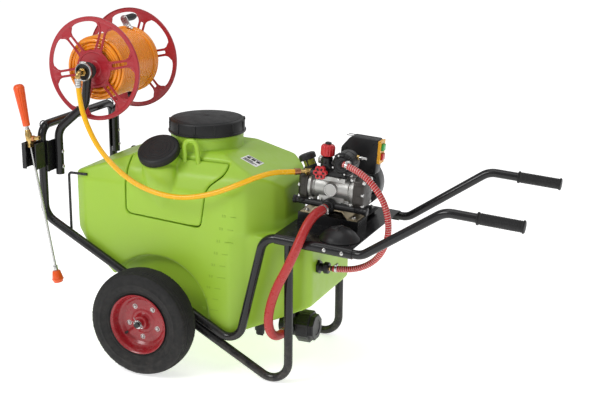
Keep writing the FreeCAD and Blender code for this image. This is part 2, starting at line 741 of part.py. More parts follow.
def pump_crank():
    """Crankshaft with its eccentric and the driven gear's pitch cylinder."""
    h = PUMP_H
    shaft = cyl(12, (PUMP_S, CRANK_Y[0], h), (PUMP_S, CRANK_Y[1] - 3, h))
    eccentric = cyl(22, (PUMP_S + 5, -46, h), (PUMP_S + 5, -14, h))
    gear = cyl(29.6, (PUMP_S, 31, h), (PUMP_S, 51, h))
    return on_deck(fuse(shaft, eccentric, gear))


def head_plate(a, b, inset=0.0):
    """Square plate with cut corners, across the crankshaft's line from a to b."""
    half, high, corner = HEAD_HALF - inset, HEAD_HIGH - inset, HEAD_CORNER
    turns = [(half, high - corner), (half - corner, high), (corner - half, high), (-half, high - corner)]
    outline = turns + [(-y, -h) for y, h in turns]
    face = face_of([(a, PUMP_Y + y, PUMP_H + h) for y, h in outline])
    return face.extrude(V(b - a, 0, 0))


def pump_heads():
    """Square diaphragm heads with cut corners at both ends of the crankcase."""
    heads = []
    for a, b in HEAD_S:
        if a < PUMP_S:
            head = head_plate(a, a + 6, 5).fuse(head_plate(a + 6, b))
            bowl = cyl(40, (b - 14, PUMP_Y, PUMP_H), (b + 1, PUMP_Y, PUMP_H))
        else:
            head = head_plate(b - 6, b, 5).fuse(head_plate(a, b - 6))
            bowl = cyl(40, (a - 1, PUMP_Y, PUMP_H), (a + 14, PUMP_Y, PUMP_H))
        heads.append(head.removeSplitter().cut(bowl))
    return on_deck(group(*heads))


INLET_Y = -122.0


def pump_manifold():
    """Suction manifold pipe below the heads, with end caps, risers and the inlet boss."""
    y, h = MANIFOLD
    pipe = cyl(12.5, (-4, y, h), (266, y, h))
    cap_a = cyl(15, (-12, y, h), (-2, y, h))
    cap_b = cyl(15, (264, y, h), (274, y, h))
    riser_a = block(12, 36, y, y + 26, h, h + 26)
    riser_b = block(224, 248, y, y + 26, h, h + 26)
    boss = cyl(22, (PUMP_S - 2, y + 4, h), (PUMP_S - 2, y - 30, h))
    tail = cyl(12, (PUMP_S - 2, y - 20, h), (PUMP_S - 2, INLET_Y, h))
    pipe = fuse(pipe, cap_a, cap_b, riser_a, riser_b, boss, tail)
    heads = [head_plate(a, b) for a, b in HEAD_S]
    pipe = pipe.cut(heads[0]).cut(heads[1]).cut(block(PUMP_S - 48, PUMP_S + 48, -64, 20, 60, 190))
    pipe = pipe.cut(cyl(8, (PUMP_S - 2, INLET_Y - 1, h), (PUMP_S - 2, y, h)))
    return on_deck(max(pipe.Solids, key=lambda s: s.Volume))


SIGHT_FOOT = V(43, PUMP_Y, 172)
SIGHT_DIR = V(-0.42, 0, 0.9075)
SIGHT_R = 20.0
SIGHT_LENGTH = 62.0


def oil_sight():
    """Clear oil vessel leaning off the crankcase."""
    pot = Part.makeCylinder(SIGHT_R, SIGHT_LENGTH, SIGHT_FOOT, SIGHT_DIR)
    pot = pot.cut(Part.makeCylinder(SIGHT_R - 3, SIGHT_LENGTH, SIGHT_FOOT + SIGHT_DIR * 28, SIGHT_DIR))
    pot = pot.cut(cyl(52, (HEAD_S[0][1], PUMP_Y, PUMP_H), (HEAD_S[1][0], PUMP_Y, PUMP_H)))
    pot = pot.cut(head_plate(*HEAD_S[0]))
    return on_deck(max(pot.Solids, key=lambda s: s.Volume))


def oil_cap():
    """Black screw cap of the oil vessel."""
    foot = SIGHT_FOOT + SIGHT_DIR * SIGHT_LENGTH
    cap = Part.makeCylinder(31, 24, foot - SIGHT_DIR * 4, SIGHT_DIR)
    return on_deck(cap.cut(Part.makeCylinder(SIGHT_R + 0.05, 4.3, foot - SIGHT_DIR * 4.2, SIGHT_DIR)))


CONTROL = (172.0, 244.0)
CONTROL_PORT = (189.0, -124.0, 256.0)
TAP = (100.0, 208.0)
OUTLET_S = 40.0
OUTLET_END = (20.0, -101.0, 196.0)
REG = (102.0, -58.0)


def control_unit():
    """Black pressure control block: valve drum, regulator column, tap body and outlet arm."""
    base = block(84, 176, -62, -4, 184, 222)
    drum = cyl(40, (CONTROL[0], -92, CONTROL[1]), (CONTROL[0], -20, CONTROL[1]))
    nose = cyl(26, (CONTROL[0], -104, CONTROL[1]), (CONTROL[0], -90, CONTROL[1]))
    tail = cyl(9, (CONTROL[0], -96, CONTROL[1]), CONTROL_PORT)
    column = cyl(21, (REG[0], REG[1], 216), (REG[0], REG[1], 258))
    tap = cyl(19, (TAP[0], -96, TAP[1]), (TAP[0], -50, TAP[1]))
    arm = cyl(11, (OUTLET_S + 10, -80, 196), (TAP[0], -80, 196))
    stem = cyl(7, (TAP[0], -104, TAP[1]), (TAP[0], -94, TAP[1]))
    unit = fuse(base, drum, nose, tail, column, tap, arm, stem)
    spindle = cyl(7, (REG[0], REG[1], 255), (REG[0], REG[1], 270))
    return on_deck(unit.fuse(spindle).removeSplitter())


def outlet_fitting():
    """Brass hose tail on the outlet arm."""
    elbow = Part.makeSphere(11, V(OUTLET_S + 8, -80, 196))
    nut = cyl(12, (OUTLET_S + 4, -83, 196), (OUTLET_S - 6, -90.5, 196))
    tail = cyl(7, (OUTLET_S + 4, -83, 196), OUTLET_END)
    return on_deck(fuse(elbow, nut, tail))


def regulator_knob():
    """Ribbed pressure knob on the regulator's spindle."""
    knob = cyl(26, (REG[0], REG[1], 259), (REG[0], REG[1], 300))
    for i in range(12):
        angle = math.radians(30 * i)
        x, y = REG[0] + 28 * math.cos(angle), REG[1] + 28 * math.sin(angle)
        knob = knob.cut(cyl(5, (x, y, 264), (x, y, 305)))
    top = cyl(12, (REG[0], REG[1], 300), (REG[0], REG[1], 308))
    knob = knob.fuse(top).cut(cyl(7.05, (REG[0], REG[1], 250), (REG[0], REG[1], 270.5)))
    return on_deck(knob)


def tap_knob():
    """Star handle of the outlet tap."""
    hub = cyl(13, (TAP[0], -122, TAP[1]), (TAP[0], -97, TAP[1]))
    knob = hub
    for i in range(6):
        angle = math.radians(60 * i + 15)
        x, h = TAP[0] + 18 * math.cos(angle), TAP[1] + 18 * math.sin(angle)
        knob = knob.fuse(cyl(8, (x, -120, h), (x, -104, h)))
    return on_deck(knob.cut(cyl(7.05, (TAP[0], -104.3, TAP[1]), (TAP[0], -90, TAP[1]))).removeSplitter())


def pump_bracket():
    """Plated sheet saddle that carries the pump on the deck."""
    foot = RISER_H
    profile = thick_profile([(22, foot), (58, foot), (80, 66), (180, 66), (202, foot), (238, foot)], 4)
    sheet = face_of([(s, -80, h) for s, h in profile]).extrude(V(0, 90, 0))
    for s, y in FOOT_SPOTS:
        sheet = sheet.cut(cyl(4.2, (s, y, foot - 2), (s, y, foot + 8)))
    y, h = MANIFOLD
    sheet = sheet.cut(cyl(12.5, (-4, y, h), (266, y, h)))
    sheet = sheet.cut(cyl(22, (PUMP_S - 2, y + 4, h), (PUMP_S - 2, y - 30, h)))
    return on_deck(sheet)


# ---- motor ------------------------------------------------------------------------------------------
MOTOR_Y = (60.0, 200.0)
FAN_Y = (200.0, 248.0)
FAN_R = 94.0
BOX_S, BOX_Y, BOX_H = (100.0, 240.0), (80.0, 135.0), (176.0, 305.0)


def motor_housing():
    """Finned motor housing on its base plate, bored for the rotor."""
    housing = cyl(MOTOR_R - 8, (PUMP_S, MOTOR_Y[0], MOTOR_H), (PUMP_S, MOTOR_Y[1], MOTOR_H))
    fins = []
    for i in range(24):
        fin = block(-1.5, 1.5, MOTOR_Y[0] + 12, MOTOR_Y[1] - 4, MOTOR_R - 12, MOTOR_R)
        fin.rotate(V(0, 0, 0), V(0, 1, 0), 15 * i + 7.5)
        fin.translate(V(PUMP_S, 0, MOTOR_H))
        fins.append(fin)
    base = block(35, 225, 80, 190, 14, 20)
    feet = [block(s, s + 12, 84, 186, 20, 62) for s in (70, 178)]
    housing = housing.fuse(fins + [base] + feet)
    bore = cyl(50, (PUMP_S, MOTOR_Y[0] + 6, MOTOR_H), (PUMP_S, MOTOR_Y[1] - 6, MOTOR_H))
    shaft = cyl(8.05, (PUMP_S, MOTOR_Y[0] - 1, MOTOR_H), (PUMP_S, MOTOR_Y[1] + 1, MOTOR_H))
    housing = housing.cut(bore).cut(shaft)
    for s, y in MOUNT_SPOTS:
        housing = housing.cut(cyl(4.2, (s, y, 10), (s, y, 25)))
    return on_deck(housing.removeSplitter())


def motor_rotor():
    """Rotor core, shaft, pinion pitch cylinder and fan on one shaft."""
    shaft = cyl(8, (PUMP_S, 30, MOTOR_H), (PUMP_S, 232, MOTOR_H))
    core = cyl(46, (PUMP_S, 85, MOTOR_H), (PUMP_S, 175, MOTOR_H))
    pinion = cyl(9.8, (PUMP_S, 31, MOTOR_H), (PUMP_S, 50, MOTOR_H))
    hub = cyl(18, (PUMP_S, 208, MOTOR_H), (PUMP_S, 230, MOTOR_H))
    rotor = shaft.fuse([core, pinion, hub])
    for i in range(8):
        blade = block(-1.5, 1.5, 210, 228, 14, 74)
        blade.rotate(V(0, 0, 0), V(0, 1, 0), 45 * i)
        blade.translate(V(PUMP_S, 0, MOTOR_H))
        rotor = rotor.fuse(blade)
    return on_deck(rotor.removeSplitter())


def fan_cover():
    """Pressed cowl over the fan, with slots in its end."""
    cowl = cyl(FAN_R, (PUMP_S, FAN_Y[0], MOTOR_H), (PUMP_S, FAN_Y[1], MOTOR_H))
    cowl = cowl.cut(cyl(FAN_R - 2.5, (PUMP_S, FAN_Y[0] - 1, MOTOR_H), (PUMP_S, FAN_Y[1] - 2.5, MOTOR_H)))
    cowl = cowl.fuse(ring(FAN_R, MOTOR_R - 7.9, (PUMP_S, FAN_Y[0] - 3, MOTOR_H), (PUMP_S, FAN_Y[0], MOTOR_H)))
    fins = cyl(MOTOR_R + 0.1, (PUMP_S, FAN_Y[0] - 5, MOTOR_H), (PUMP_S, FAN_Y[0] - 4, MOTOR_H))
    for i in range(16):
        slot = block(-3, 3, FAN_Y[1] - 5, FAN_Y[1] + 1, 28, 80)
        slot.rotate(V(0, 0, 0), V(0, 1, 0), 22.5 * i)
        slot.translate(V(PUMP_S, 0, MOTOR_H))
        cowl = cowl.cut(slot)
    return on_deck(cowl.cut(fins).removeSplitter())


def motor_mounts():
    """Rubber buffers and bolts under the motor base, and the bolts of the pump saddle."""
    parts = []
    for s, y in MOUNT_SPOTS:
        parts.append(ring(14, 4.2, (s, y, DECK_T), (s, y, 14)))
        parts.append(dome_bolt((s, y, 20), (0, 0, 1), 24, 4.0, 8.0).cut(cyl(4.2, (s, y, -9), (s, y, -4.1))))
    for s, y in FOOT_SPOTS:
        parts.append(dome_bolt((s, y, RISER_H + 4), (0, 0, 1), 7, 4.0, 7.0))
    return on_deck(group(*parts))


def switch_box():
    """Capacitor and switch box on the motor, with a sloped front top edge."""
    s0, s1 = BOX_S
    outline = [(s0, BOX_H[0]), (s1, BOX_H[0]), (s1, BOX_H[1]), (s0 + 34, BOX_H[1]), (s0, BOX_H[1] - 44)]
    box = face_of([(s, BOX_Y[0], h) for s, h in outline]).extrude(V(0, BOX_Y[1] - BOX_Y[0], 0))
    box = box.cut(cyl(MOTOR_R + 0.4, (PUMP_S, 50, MOTOR_H), (PUMP_S, 210, MOTOR_H)))
    hollow = block(s0 + 38, s1 - 3, BOX_Y[0] + 3, BOX_Y[1] - 3, BOX_H[0] + 24, BOX_H[1] - 3)
    return on_deck(box.cut(hollow))


SWITCH_S = 250.0
BUTTONS = (("button_green", 277.0), ("button_red", 242.0))


def switch_plate():
    """Yellow switch body on the box's rear face, with a well for each button."""
    plate = block(BOX_S[1], SWITCH_S, 84, 131, 218, 301)
    for _, h in BUTTONS:
        plate = plate.cut(block(BOX_S[1] + 3, SWITCH_S + 1, 94, 121, h - 13, h + 13))
    return on_deck(plate)


def button(h):
    """Push button, free in its well by a small gap all round."""
    return on_deck(block(BOX_S[1] + 7, SWITCH_S + 7, 94.5, 120.5, h - 12.5, h + 12.5))


# ---- reel -------------------------------------------------------------------------------------------
HUB_DISC_R = 68.0
FLANGE_T = 5.0


def reel_flange(side):
    """Pressed flange: rim, hub disc and twin spokes."""
    a, b = sorted((side * FLANGE_Y, side * (FLANGE_Y - FLANGE_T)))
    rim_ring = ring(REEL_R, REEL_R - 17, (REEL_X, a, REEL_Z), (REEL_X, b, REEL_Z))
    rim_ring = rim_ring.fuse(ring(REEL_R, REEL_R - 5, (REEL_X, a - 3, REEL_Z), (REEL_X, b + 3, REEL_Z)))
    disc = cyl(HUB_DISC_R, (REEL_X, a, REEL_Z), (REEL_X, b, REEL_Z))
    pieces = [disc]
    for i in range(REEL_SPOKES):
        for offset in (-14, 14):
            bar = block(HUB_DISC_R - 8, REEL_R - 10, a, b, offset - 7, offset + 7)
            bar.rotate(V(0, 0, 0), V(0, 1, 0), -60 * i - SPOKE_PHASE)
            bar.translate(V(REEL_X, 0, REEL_Z))
            pieces.append(bar)
        narrow, wide = REEL_R - 34, REEL_R - 10
        gusset = face_of([(narrow, a, -19), (narrow, a, 19), (wide, a, 34), (wide, a, -34)])
        gusset = gusset.extrude(V(0, b - a, 0))
        gusset.rotate(V(0, 0, 0), V(0, 1, 0), -60 * i - SPOKE_PHASE)
        gusset.translate(V(REEL_X, 0, REEL_Z))
        pieces.append(gusset)
    flange = rim_ring.fuse(pieces)
    return flange.cut(cyl(SHAFT_R, (REEL_X, -300, REEL_Z), (REEL_X, 300, REEL_Z))).removeSplitter()


def reel_drum():
    """Drum tube between the flanges and the through shaft, with its left end open for the liquid."""
    inner_y = FLANGE_Y - FLANGE_T
    drum = ring(DRUM_R, DRUM_R - 2.5, (REEL_X, -inner_y, REEL_Z), (REEL_X, inner_y, REEL_Z))
    web = ring(DRUM_R, SHAFT_R - 1, (REEL_X, -3, REEL_Z), (REEL_X, 3, REEL_Z))
    shaft = cyl(SHAFT_R, (REEL_X, -216, REEL_Z), (REEL_X, ARM_Y[1], REEL_Z))
    stop = ring(20, SHAFT_R, (REEL_X, 199, REEL_Z), (REEL_X, ARM_Y[0] + 1, REEL_Z))
    body = drum.fuse([web, shaft, stop] + crank_arm())
    return body.cut(cyl(7, (REEL_X, -217, REEL_Z), (REEL_X, -30, REEL_Z))).removeSplitter()


def reel_hose():
    """Outer shape of the wound hose."""
    return ring(WOUND_R, DRUM_R + 0.3, (REEL_X, -FLANGE_Y + FLANGE_T + 4, REEL_Z),
                (REEL_X, FLANGE_Y - FLANGE_T - 4, REEL_Z))


def crank_knob():
    """Handle that turns on the crank bolt."""
    x, z = KNOB_AT
    return ring(14, 5.05, (x, ARM_Y[1] + 1, z), (x, ARM_Y[1] + 81, z))


def crank_arm():
    """Flat arm on the end of the shaft and the fixed bolt at its outer end."""
    x, z = KNOB_AT
    y0, y1 = ARM_Y
    reach = math.hypot(x - REEL_X, z - REEL_Z)
    arm = block(0, reach, y0, y1, -14, 14)
    arm.rotate(V(0, 0, 0), V(0, 1, 0), -math.degrees(math.atan2(z - REEL_Z, x - REEL_X)))
    arm.translate(V(REEL_X, 0, REEL_Z))
    boss = cyl(21, (REEL_X, y0, REEL_Z), (REEL_X, y1, REEL_Z))
    end = cyl(14, (x, y0, z), (x, y1, z))
    stem = cyl(5, (x, y0 - 4, z), (x, y1 + 85, z))
    nut = cyl(9, (x, y0 - 4, z), (x, y0, z))
    head = cyl(9, (x, y1 + 82, z), (x, y1 + 88, z))
    return [arm, boss, end, stem, nut, head]


ELBOW_Y = -252.0


def inlet_elbow():
    """Standing half of the swivel: a clamp ring, a brass elbow and a ferrule that points down."""
    collar = ring(26, 12.05, (REEL_X, -236, REEL_Z), (REEL_X, -202, REEL_Z))
    body = cyl(15, (REEL_X, ELBOW_Y - 13, REEL_Z), (REEL_X, -236, REEL_Z))
    drop = cyl(9, (REEL_X, ELBOW_Y, REEL_Z), (REEL_X, ELBOW_Y, REEL_Z - 34))
    ferrule = ring(12, 6, (REEL_X, ELBOW_Y, REEL_Z - 52), (REEL_X, ELBOW_Y, REEL_Z - 34))
    plug = cyl(6, (REEL_X, ELBOW_Y, REEL_Z - 34), (REEL_X, ELBOW_Y, REEL_Z - 42))
    bore = cyl(12.05, (REEL_X, -236 + 12, REEL_Z), (REEL_X, -200, REEL_Z))
    return fuse(collar, body, drop, ferrule, plug).cut(bore)


# ---- hoses ------------------------------------------------------------------------------------------
def deck_point(s, y, h):
    """Deck position as a point of the cart."""
    a = math.radians(DECK_TILT)
    x = RAIL_X0 + s * math.cos(a) + h * math.sin(a)
    return (x, y, DECK_Z0 - s * math.sin(a) + h * math.cos(a))


DELIVERY_ROUTE = [
    (REEL_X, ELBOW_Y, REEL_Z - 52), (-301, -255, 972), (-284, -262, 922), (-254, -271, 866),
    (-214, -281, 812), (-162, -290, 765), (-100, -297, 722), (-33, -300, 690), (40, -299, 671),
    (115, -294, 664), (192, -282, 673), (268, -264, 696), (338, -243, 727), (396, -207, 753),
    (438, -164, 762), (474, -128, 758), deck_point(*OUTLET_END),
]
SUCTION_ROUTE = [
    deck_point(PUMP_S - 2, INLET_Y, MANIFOLD[1]), (609, -164, 638), (606, -206, 635), (601, -246, 619),
    (594, -277, 589), (583, -296, 549), (566, -302, 505), (541, -302, 452), (511, -300, 396), (489, -298, 342),
    (476, -296, 296), (470, -295, 251), (468, -279, 209), (469, -247, 177), (472, -205, 160),
    (OUTLET[0], FILTER_PORT_Y, FILTER_Z),
]
BYPASS_ROUTE = [
    (RETURN[0] + 58, RETURN[1], RETURN[2]), (692, -130, 423), (737, -133, 432), (782, -139, 453),
    (822, -146, 487), (850, -153, 532), (864, -157, 584), (863, -159, 638), (848, -157, 689),
    (819, -153, 733), (779, -147, 771), (729, -136, 796), deck_point(*CONTROL_PORT),
]


def hoses():
    """Delivery, suction and bypass hoses, each a plain tube along its route."""
    save("delivery_hose", cord("delivery_hose", DELIVERY_ROUTE, DELIVERY_D))
    save("suction_hose", cord("suction_hose", SUCTION_ROUTE, SUCTION_D))
    save("bypass_hose", cord("bypass_hose", BYPASS_ROUTE, BYPASS_D))


# ---- lance ------------------------------------------------------------------------------------------
def lance_cyl(radius, d0, d1):
    return cyl(radius, lance_at(d0), lance_at(d1))


def lance_nozzle():
    """Nozzle cap at the lance's tip."""
    tip = cone(17, 22, lance_at(0), lance_at(14))
    cap = cone(22, 15, lance_at(14), lance_at(46))
    return fuse(tip, cap).cut(lance_cyl(3, -1, 20)).cut(lance_cyl(5.5, 20, 60))


def lance_tube():
    """Spray tube with its collar, the valve body and the hose inlet."""
    pipe = lance_cyl(5.4, 20, 560)
    collar = lance_cyl(9, 48, 66)
    body = lance_cyl(13, 528, 592)
    neck = lance_cyl(8, 590, 620)
    a = lance_at(556)
    inlet = cyl(8, a, (a[0] + 45, a[1], a[2] + 9))
    nut = cyl(12, (a[0] + 15, a[1], a[2] + 3), (a[0] + 25, a[1], a[2] + 5))
    return fuse(pipe, collar, body, neck, inlet, nut)


def lance_handle():
    """Tapered twist handle that opens the spray."""
    grip = cone(14, 21, lance_at(622), lance_at(745))
    end = cone(21, 12, lance_at(745), lance_at(762))
    socket = lance_cyl(8.05, 600, 622)
    return fuse(grip, end).cut(socket)


# ---- build ------------------------------------------------------------------------------------------
def main():
    os.makedirs("parts", exist_ok=True)
    for name, side in SIDES:
        save("loop_tube_" + name, loop_tube(side))
        save("rail_tube_" + name, rail_tube(side))
        save("reel_stand_" + name, reel_stand(side))
        save("tyre_" + name, tyre(side))
        save("rim_" + name, rim(side))
        save("reel_flange_" + name, reel_flange(side))
    save("front_crossbar", crossbar())
    save("axle", axle())
    save("axle_clips", axle_clips())
    save("deck_plate", deck_plate())
    save("deck_cap", deck_cap())
    save("frame_bolts", frame_bolts())
    save("bracket_plates", bracket_plates())
    save("reel_bearings", reel_bearings())
    save("tank_hooks", tank_hooks())
    save("lance_holder", lance_holder())
    save("grips", grips())
    save("tank_shell", tank_shell())
    save("aux_tank", aux_tank())
    save("aux_cap", aux_cap())
    save("main_lid", main_lid())
    save("drain_plug", drain_plug())
    save("filter_body", filter_body())
    save("filter_cap", filter_cap())
    save("return_fitting", return_fitting())
    save("pump_body", pump_body())
    save("pump_crank", pump_crank())
    save("pump_heads", pump_heads())
    save("pump_manifold", pump_manifold())
    save("pump_bracket", pump_bracket())
    save("oil_sight", oil_sight())
    save("oil_cap", oil_cap())
    save("control_unit", control_unit())
    save("outlet_fitting", outlet_fitting())
    save("regulator_knob", regulator_knob())
    save("tap_knob", tap_knob())
    save("motor_housing", motor_housing())
    save("motor_rotor", motor_rotor())
    save("fan_cover", fan_cover())
    save("motor_mounts", motor_mounts())
    save("switch_box", switch_box())
    save("switch_plate", switch_plate())
    for name, h in BUTTONS:
        save(name, button(h))
    save("reel_drum", reel_drum())
    save("reel_hose", reel_hose())
    save("crank_knob", crank_knob())
    hoses()
    save("inlet_elbow", inlet_elbow())
    save("lance_nozzle", lance_nozzle())
    save("lance_tube", lance_tube())
    save("lance_handle", lance_handle())


main()
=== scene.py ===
import bpy
import bmesh
import math
from mathutils import Matrix, Vector
from mathutils.bvhtree import BVHTree


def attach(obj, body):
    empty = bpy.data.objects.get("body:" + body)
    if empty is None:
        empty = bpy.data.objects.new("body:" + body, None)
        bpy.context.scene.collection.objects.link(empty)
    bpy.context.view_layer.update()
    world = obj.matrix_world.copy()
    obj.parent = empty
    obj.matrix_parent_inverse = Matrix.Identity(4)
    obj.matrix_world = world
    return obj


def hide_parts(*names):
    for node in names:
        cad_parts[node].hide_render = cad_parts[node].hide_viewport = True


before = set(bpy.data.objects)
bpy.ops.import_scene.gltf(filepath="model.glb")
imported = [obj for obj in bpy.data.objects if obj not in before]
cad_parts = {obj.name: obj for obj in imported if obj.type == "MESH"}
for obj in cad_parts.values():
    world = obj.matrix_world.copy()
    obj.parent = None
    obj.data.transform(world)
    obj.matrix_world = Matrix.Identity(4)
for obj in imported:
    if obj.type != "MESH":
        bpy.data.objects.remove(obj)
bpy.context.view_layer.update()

# ---- frames of reference --------------------------------------------------------------------------
SHIFT_X = -0.4068
DECK_X, DECK_Z, DECK_TILT = 0.477, 0.5633, math.radians(3.6)
MM = 0.001


def P(x, y, z):
    """Point of the cart given in millimetres from the ground under the axle."""
    return Vector((x * MM + SHIFT_X, y * MM, z * MM))


def G(s, y, h):
    """Point given in millimetres along, across and above the tilted deck."""
    c, k = math.cos(DECK_TILT), math.sin(DECK_TILT)
    return Vector((DECK_X + SHIFT_X + (s * c + h * k) * MM, y * MM, DECK_Z + (h * c - s * k) * MM))


DECK_UP = (G(0, 0, 1) - G(0, 0, 0)).normalized()
DECK_ALONG = (G(1, 0, 0) - G(0, 0, 0)).normalized()
X_AXIS, Y_AXIS, Z_AXIS = Vector((1, 0, 0)), Vector((0, 1, 0)), Vector((0, 0, 1))


# ---- camera ---------------------------------------------------------------------------------------
camera = bpy.data.cameras.new("camera")
camera_ob = bpy.data.objects.new("camera", camera)
bpy.context.scene.collection.objects.link(camera_ob)
camera_ob.location = P(2169.2, -4066.4, 1881.8)
yaw, pitch, roll = math.radians(22.728), math.radians(90 - 16.178), math.radians(0.436)
camera_ob.rotation_euler = (
    Matrix.Rotation(yaw, 3, "Z") @ Matrix.Rotation(pitch, 3, "X") @ Matrix.Rotation(roll, 3, "Z")
).to_euler()
camera.sensor_width = 36.0
camera.lens = 74.78
camera.clip_end = 60
bpy.context.scene.camera = camera_ob


# ---- hose routes ----------------------------------------------------------------------------------
def route(*points):
    return [P(*p) if len(p) == 3 else p[0] for p in points]


DELIVERY = route(
    (-307, -252, 1020), (-301, -255, 972), (-284, -262, 922), (-254, -271, 866), (-214, -281, 812),
    (-162, -290, 765), (-100, -297, 722), (-33, -300, 690), (40, -299, 671), (115, -294, 664), (192, -282, 673),
    (268, -264, 696), (338, -243, 727), (396, -207, 753), (438, -164, 762), (474, -128, 758),
    (G(20, -101, 196),))
SUCTION = route(
    (G(128, -122, 81.5),), (609, -164, 638), (606, -206, 635), (601, -246, 619), (594, -277, 589),
    (583, -296, 549), (566, -302, 505), (541, -302, 452), (511, -300, 396), (489, -298, 342), (476, -296, 296),
    (470, -295, 251), (468, -279, 209), (469, -247, 177), (472, -205, 160), (475, -160, 160))
BYPASS = route(
    (650, -130, 420), (692, -130, 423), (737, -133, 432), (782, -139, 453), (822, -146, 487), (850, -153, 532),
    (864, -157, 584), (863, -159, 638), (848, -157, 689), (819, -153, 733), (779, -147, 771), (729, -136, 796),
    (G(189, -124, 256),))


# ---- materials ------------------------------------------------------------------------------------
def node_of(tree, kind, **values):
    n = tree.nodes.new(kind)
    for key, value in values.items():
        if key in n.inputs.keys():
            n.inputs[key].default_value = value
        else:
            setattr(n, key, value)
    return n


def material(name, color, rough, metal=0.0, vary=0.12, vary_scale=6.0, rough_vary=0.08, grain=0.0,
             grain_scale=900.0, lumps=0.0, lump_scale=60.0, coat=0.0, edge=0.0012, dust=0.0,
             dust_color=(0.35, 0.31, 0.25),
             dust_top=0.35, subsurface=0.0, transmission=0.0, ior=1.5, tint=None):
    """Principled material with colour and roughness variation, fine grain and softened edges."""
    m = bpy.data.materials.new(name)
    m.use_nodes = True
    tree = m.node_tree
    link = tree.links.new
    bsdf = tree.nodes["Principled BSDF"]
    bsdf.inputs["Metallic"].default_value = metal
    bsdf.inputs["IOR"].default_value = ior
    bsdf.inputs["Coat Weight"].default_value = coat
    bsdf.inputs["Coat Roughness"].default_value = 0.08
    bsdf.inputs["Transmission Weight"].default_value = transmission
    if subsurface:
        bsdf.inputs["Subsurface Weight"].default_value = subsurface
        bsdf.inputs["Subsurface Radius"].default_value = (0.5, 1.0, 0.12)
        bsdf.inputs["Subsurface Scale"].default_value = 0.008
    coords = node_of(tree, "ShaderNodeTexCoord")
    place = coords.outputs["Object"]
    patches = node_of(tree, "ShaderNodeTexNoise", Scale=vary_scale, Detail=5.0, Roughness=0.6)
    link(place, patches.inputs["Vector"])
    dark = [c * (1 - vary) for c in color[:3]] + [1]
    light = [min(1, c * (1 + vary)) for c in color[:3]] + [1]
    if tint:
        light = list(tint) + [1]
    ramp = node_of(tree, "ShaderNodeMix", data_type="RGBA")
    ramp.inputs["A"].default_value = dark
    ramp.inputs["B"].default_value = light
    link(patches.outputs["Fac"], ramp.inputs["Factor"])
    shade = ramp.outputs["Result"]
    rough_map = node_of(tree, "ShaderNodeMapRange")
    rough_map.inputs["From Min"].default_value = 0.3
    rough_map.inputs["From Max"].default_value = 0.7
    rough_map.inputs["To Min"].default_value = max(0.02, rough - rough_vary)
    rough_map.inputs["To Max"].default_value = min(1, rough + rough_vary)
    smudge = node_of(tree, "ShaderNodeTexNoise", Scale=vary_scale * 5, Detail=4.0, Roughness=0.65)
    link(place, smudge.inputs["Vector"])
    link(smudge.outputs["Fac"], rough_map.inputs["Value"])
    rough_out = rough_map.outputs["Result"]
    if dust:
        split = node_of(tree, "ShaderNodeSeparateXYZ")
        link(place, split.inputs["Vector"])
        low = node_of(tree, "ShaderNodeMapRange")
        low.inputs["From Min"].default_value = dust_top
        low.inputs["From Max"].default_value = 0.0
        link(split.outputs["Z"], low.inputs["Value"])
        speck = node_of(tree, "ShaderNodeTexNoise", Scale=38.0, Detail=7.0, Roughness=0.7)
        link(place, speck.inputs["Vector"])
        spread = node_of(tree, "ShaderNodeMapRange")
        spread.inputs["From Min"].default_value = 0.42
        spread.inputs["From Max"].default_value = 0.75
        spread.inputs["To Max"].default_value = dust
        link(speck.outputs["Fac"], spread.inputs["Value"])
        amount = node_of(tree, "ShaderNodeMath", operation="MULTIPLY")
        link(low.outputs["Result"], amount.inputs[0])
        link(spread.outputs["Result"], amount.inputs[1])
        mix = node_of(tree, "ShaderNodeMix", data_type="RGBA")
        mix.inputs["B"].default_value = list(dust_color) + [1]
        link(amount.outputs["Value"], mix.inputs["Factor"])
        link(shade, mix.inputs["A"])
        shade = mix.outputs["Result"]
    link(shade, bsdf.inputs["Base Color"])
    link(rough_out, bsdf.inputs["Roughness"])
    normal = None
    if edge:
        round_edge = node_of(tree, "ShaderNodeBevel", samples=4)
        round_edge.inputs["Radius"].default_value = edge
        normal = round_edge.outputs["Normal"]
    for strength, scale, detail in ((lumps, lump_scale, 3.0), (grain, grain_scale, 2.0)):
        if not strength:
            continue
        tex = node_of(tree, "ShaderNodeTexNoise", Scale=scale, Detail=detail, Roughness=0.55)
        link(place, tex.inputs["Vector"])
        bump = node_of(tree, "ShaderNodeBump", Strength=strength, Distance=0.002 if scale < 200 else 0.0004)
        link(tex.outputs["Fac"], bump.inputs["Height"])
        if normal:
            link(normal, bump.inputs["Normal"])
        normal = bump.outputs["Normal"]
    if normal:
        link(normal, bsdf.inputs["Normal"])
    return m


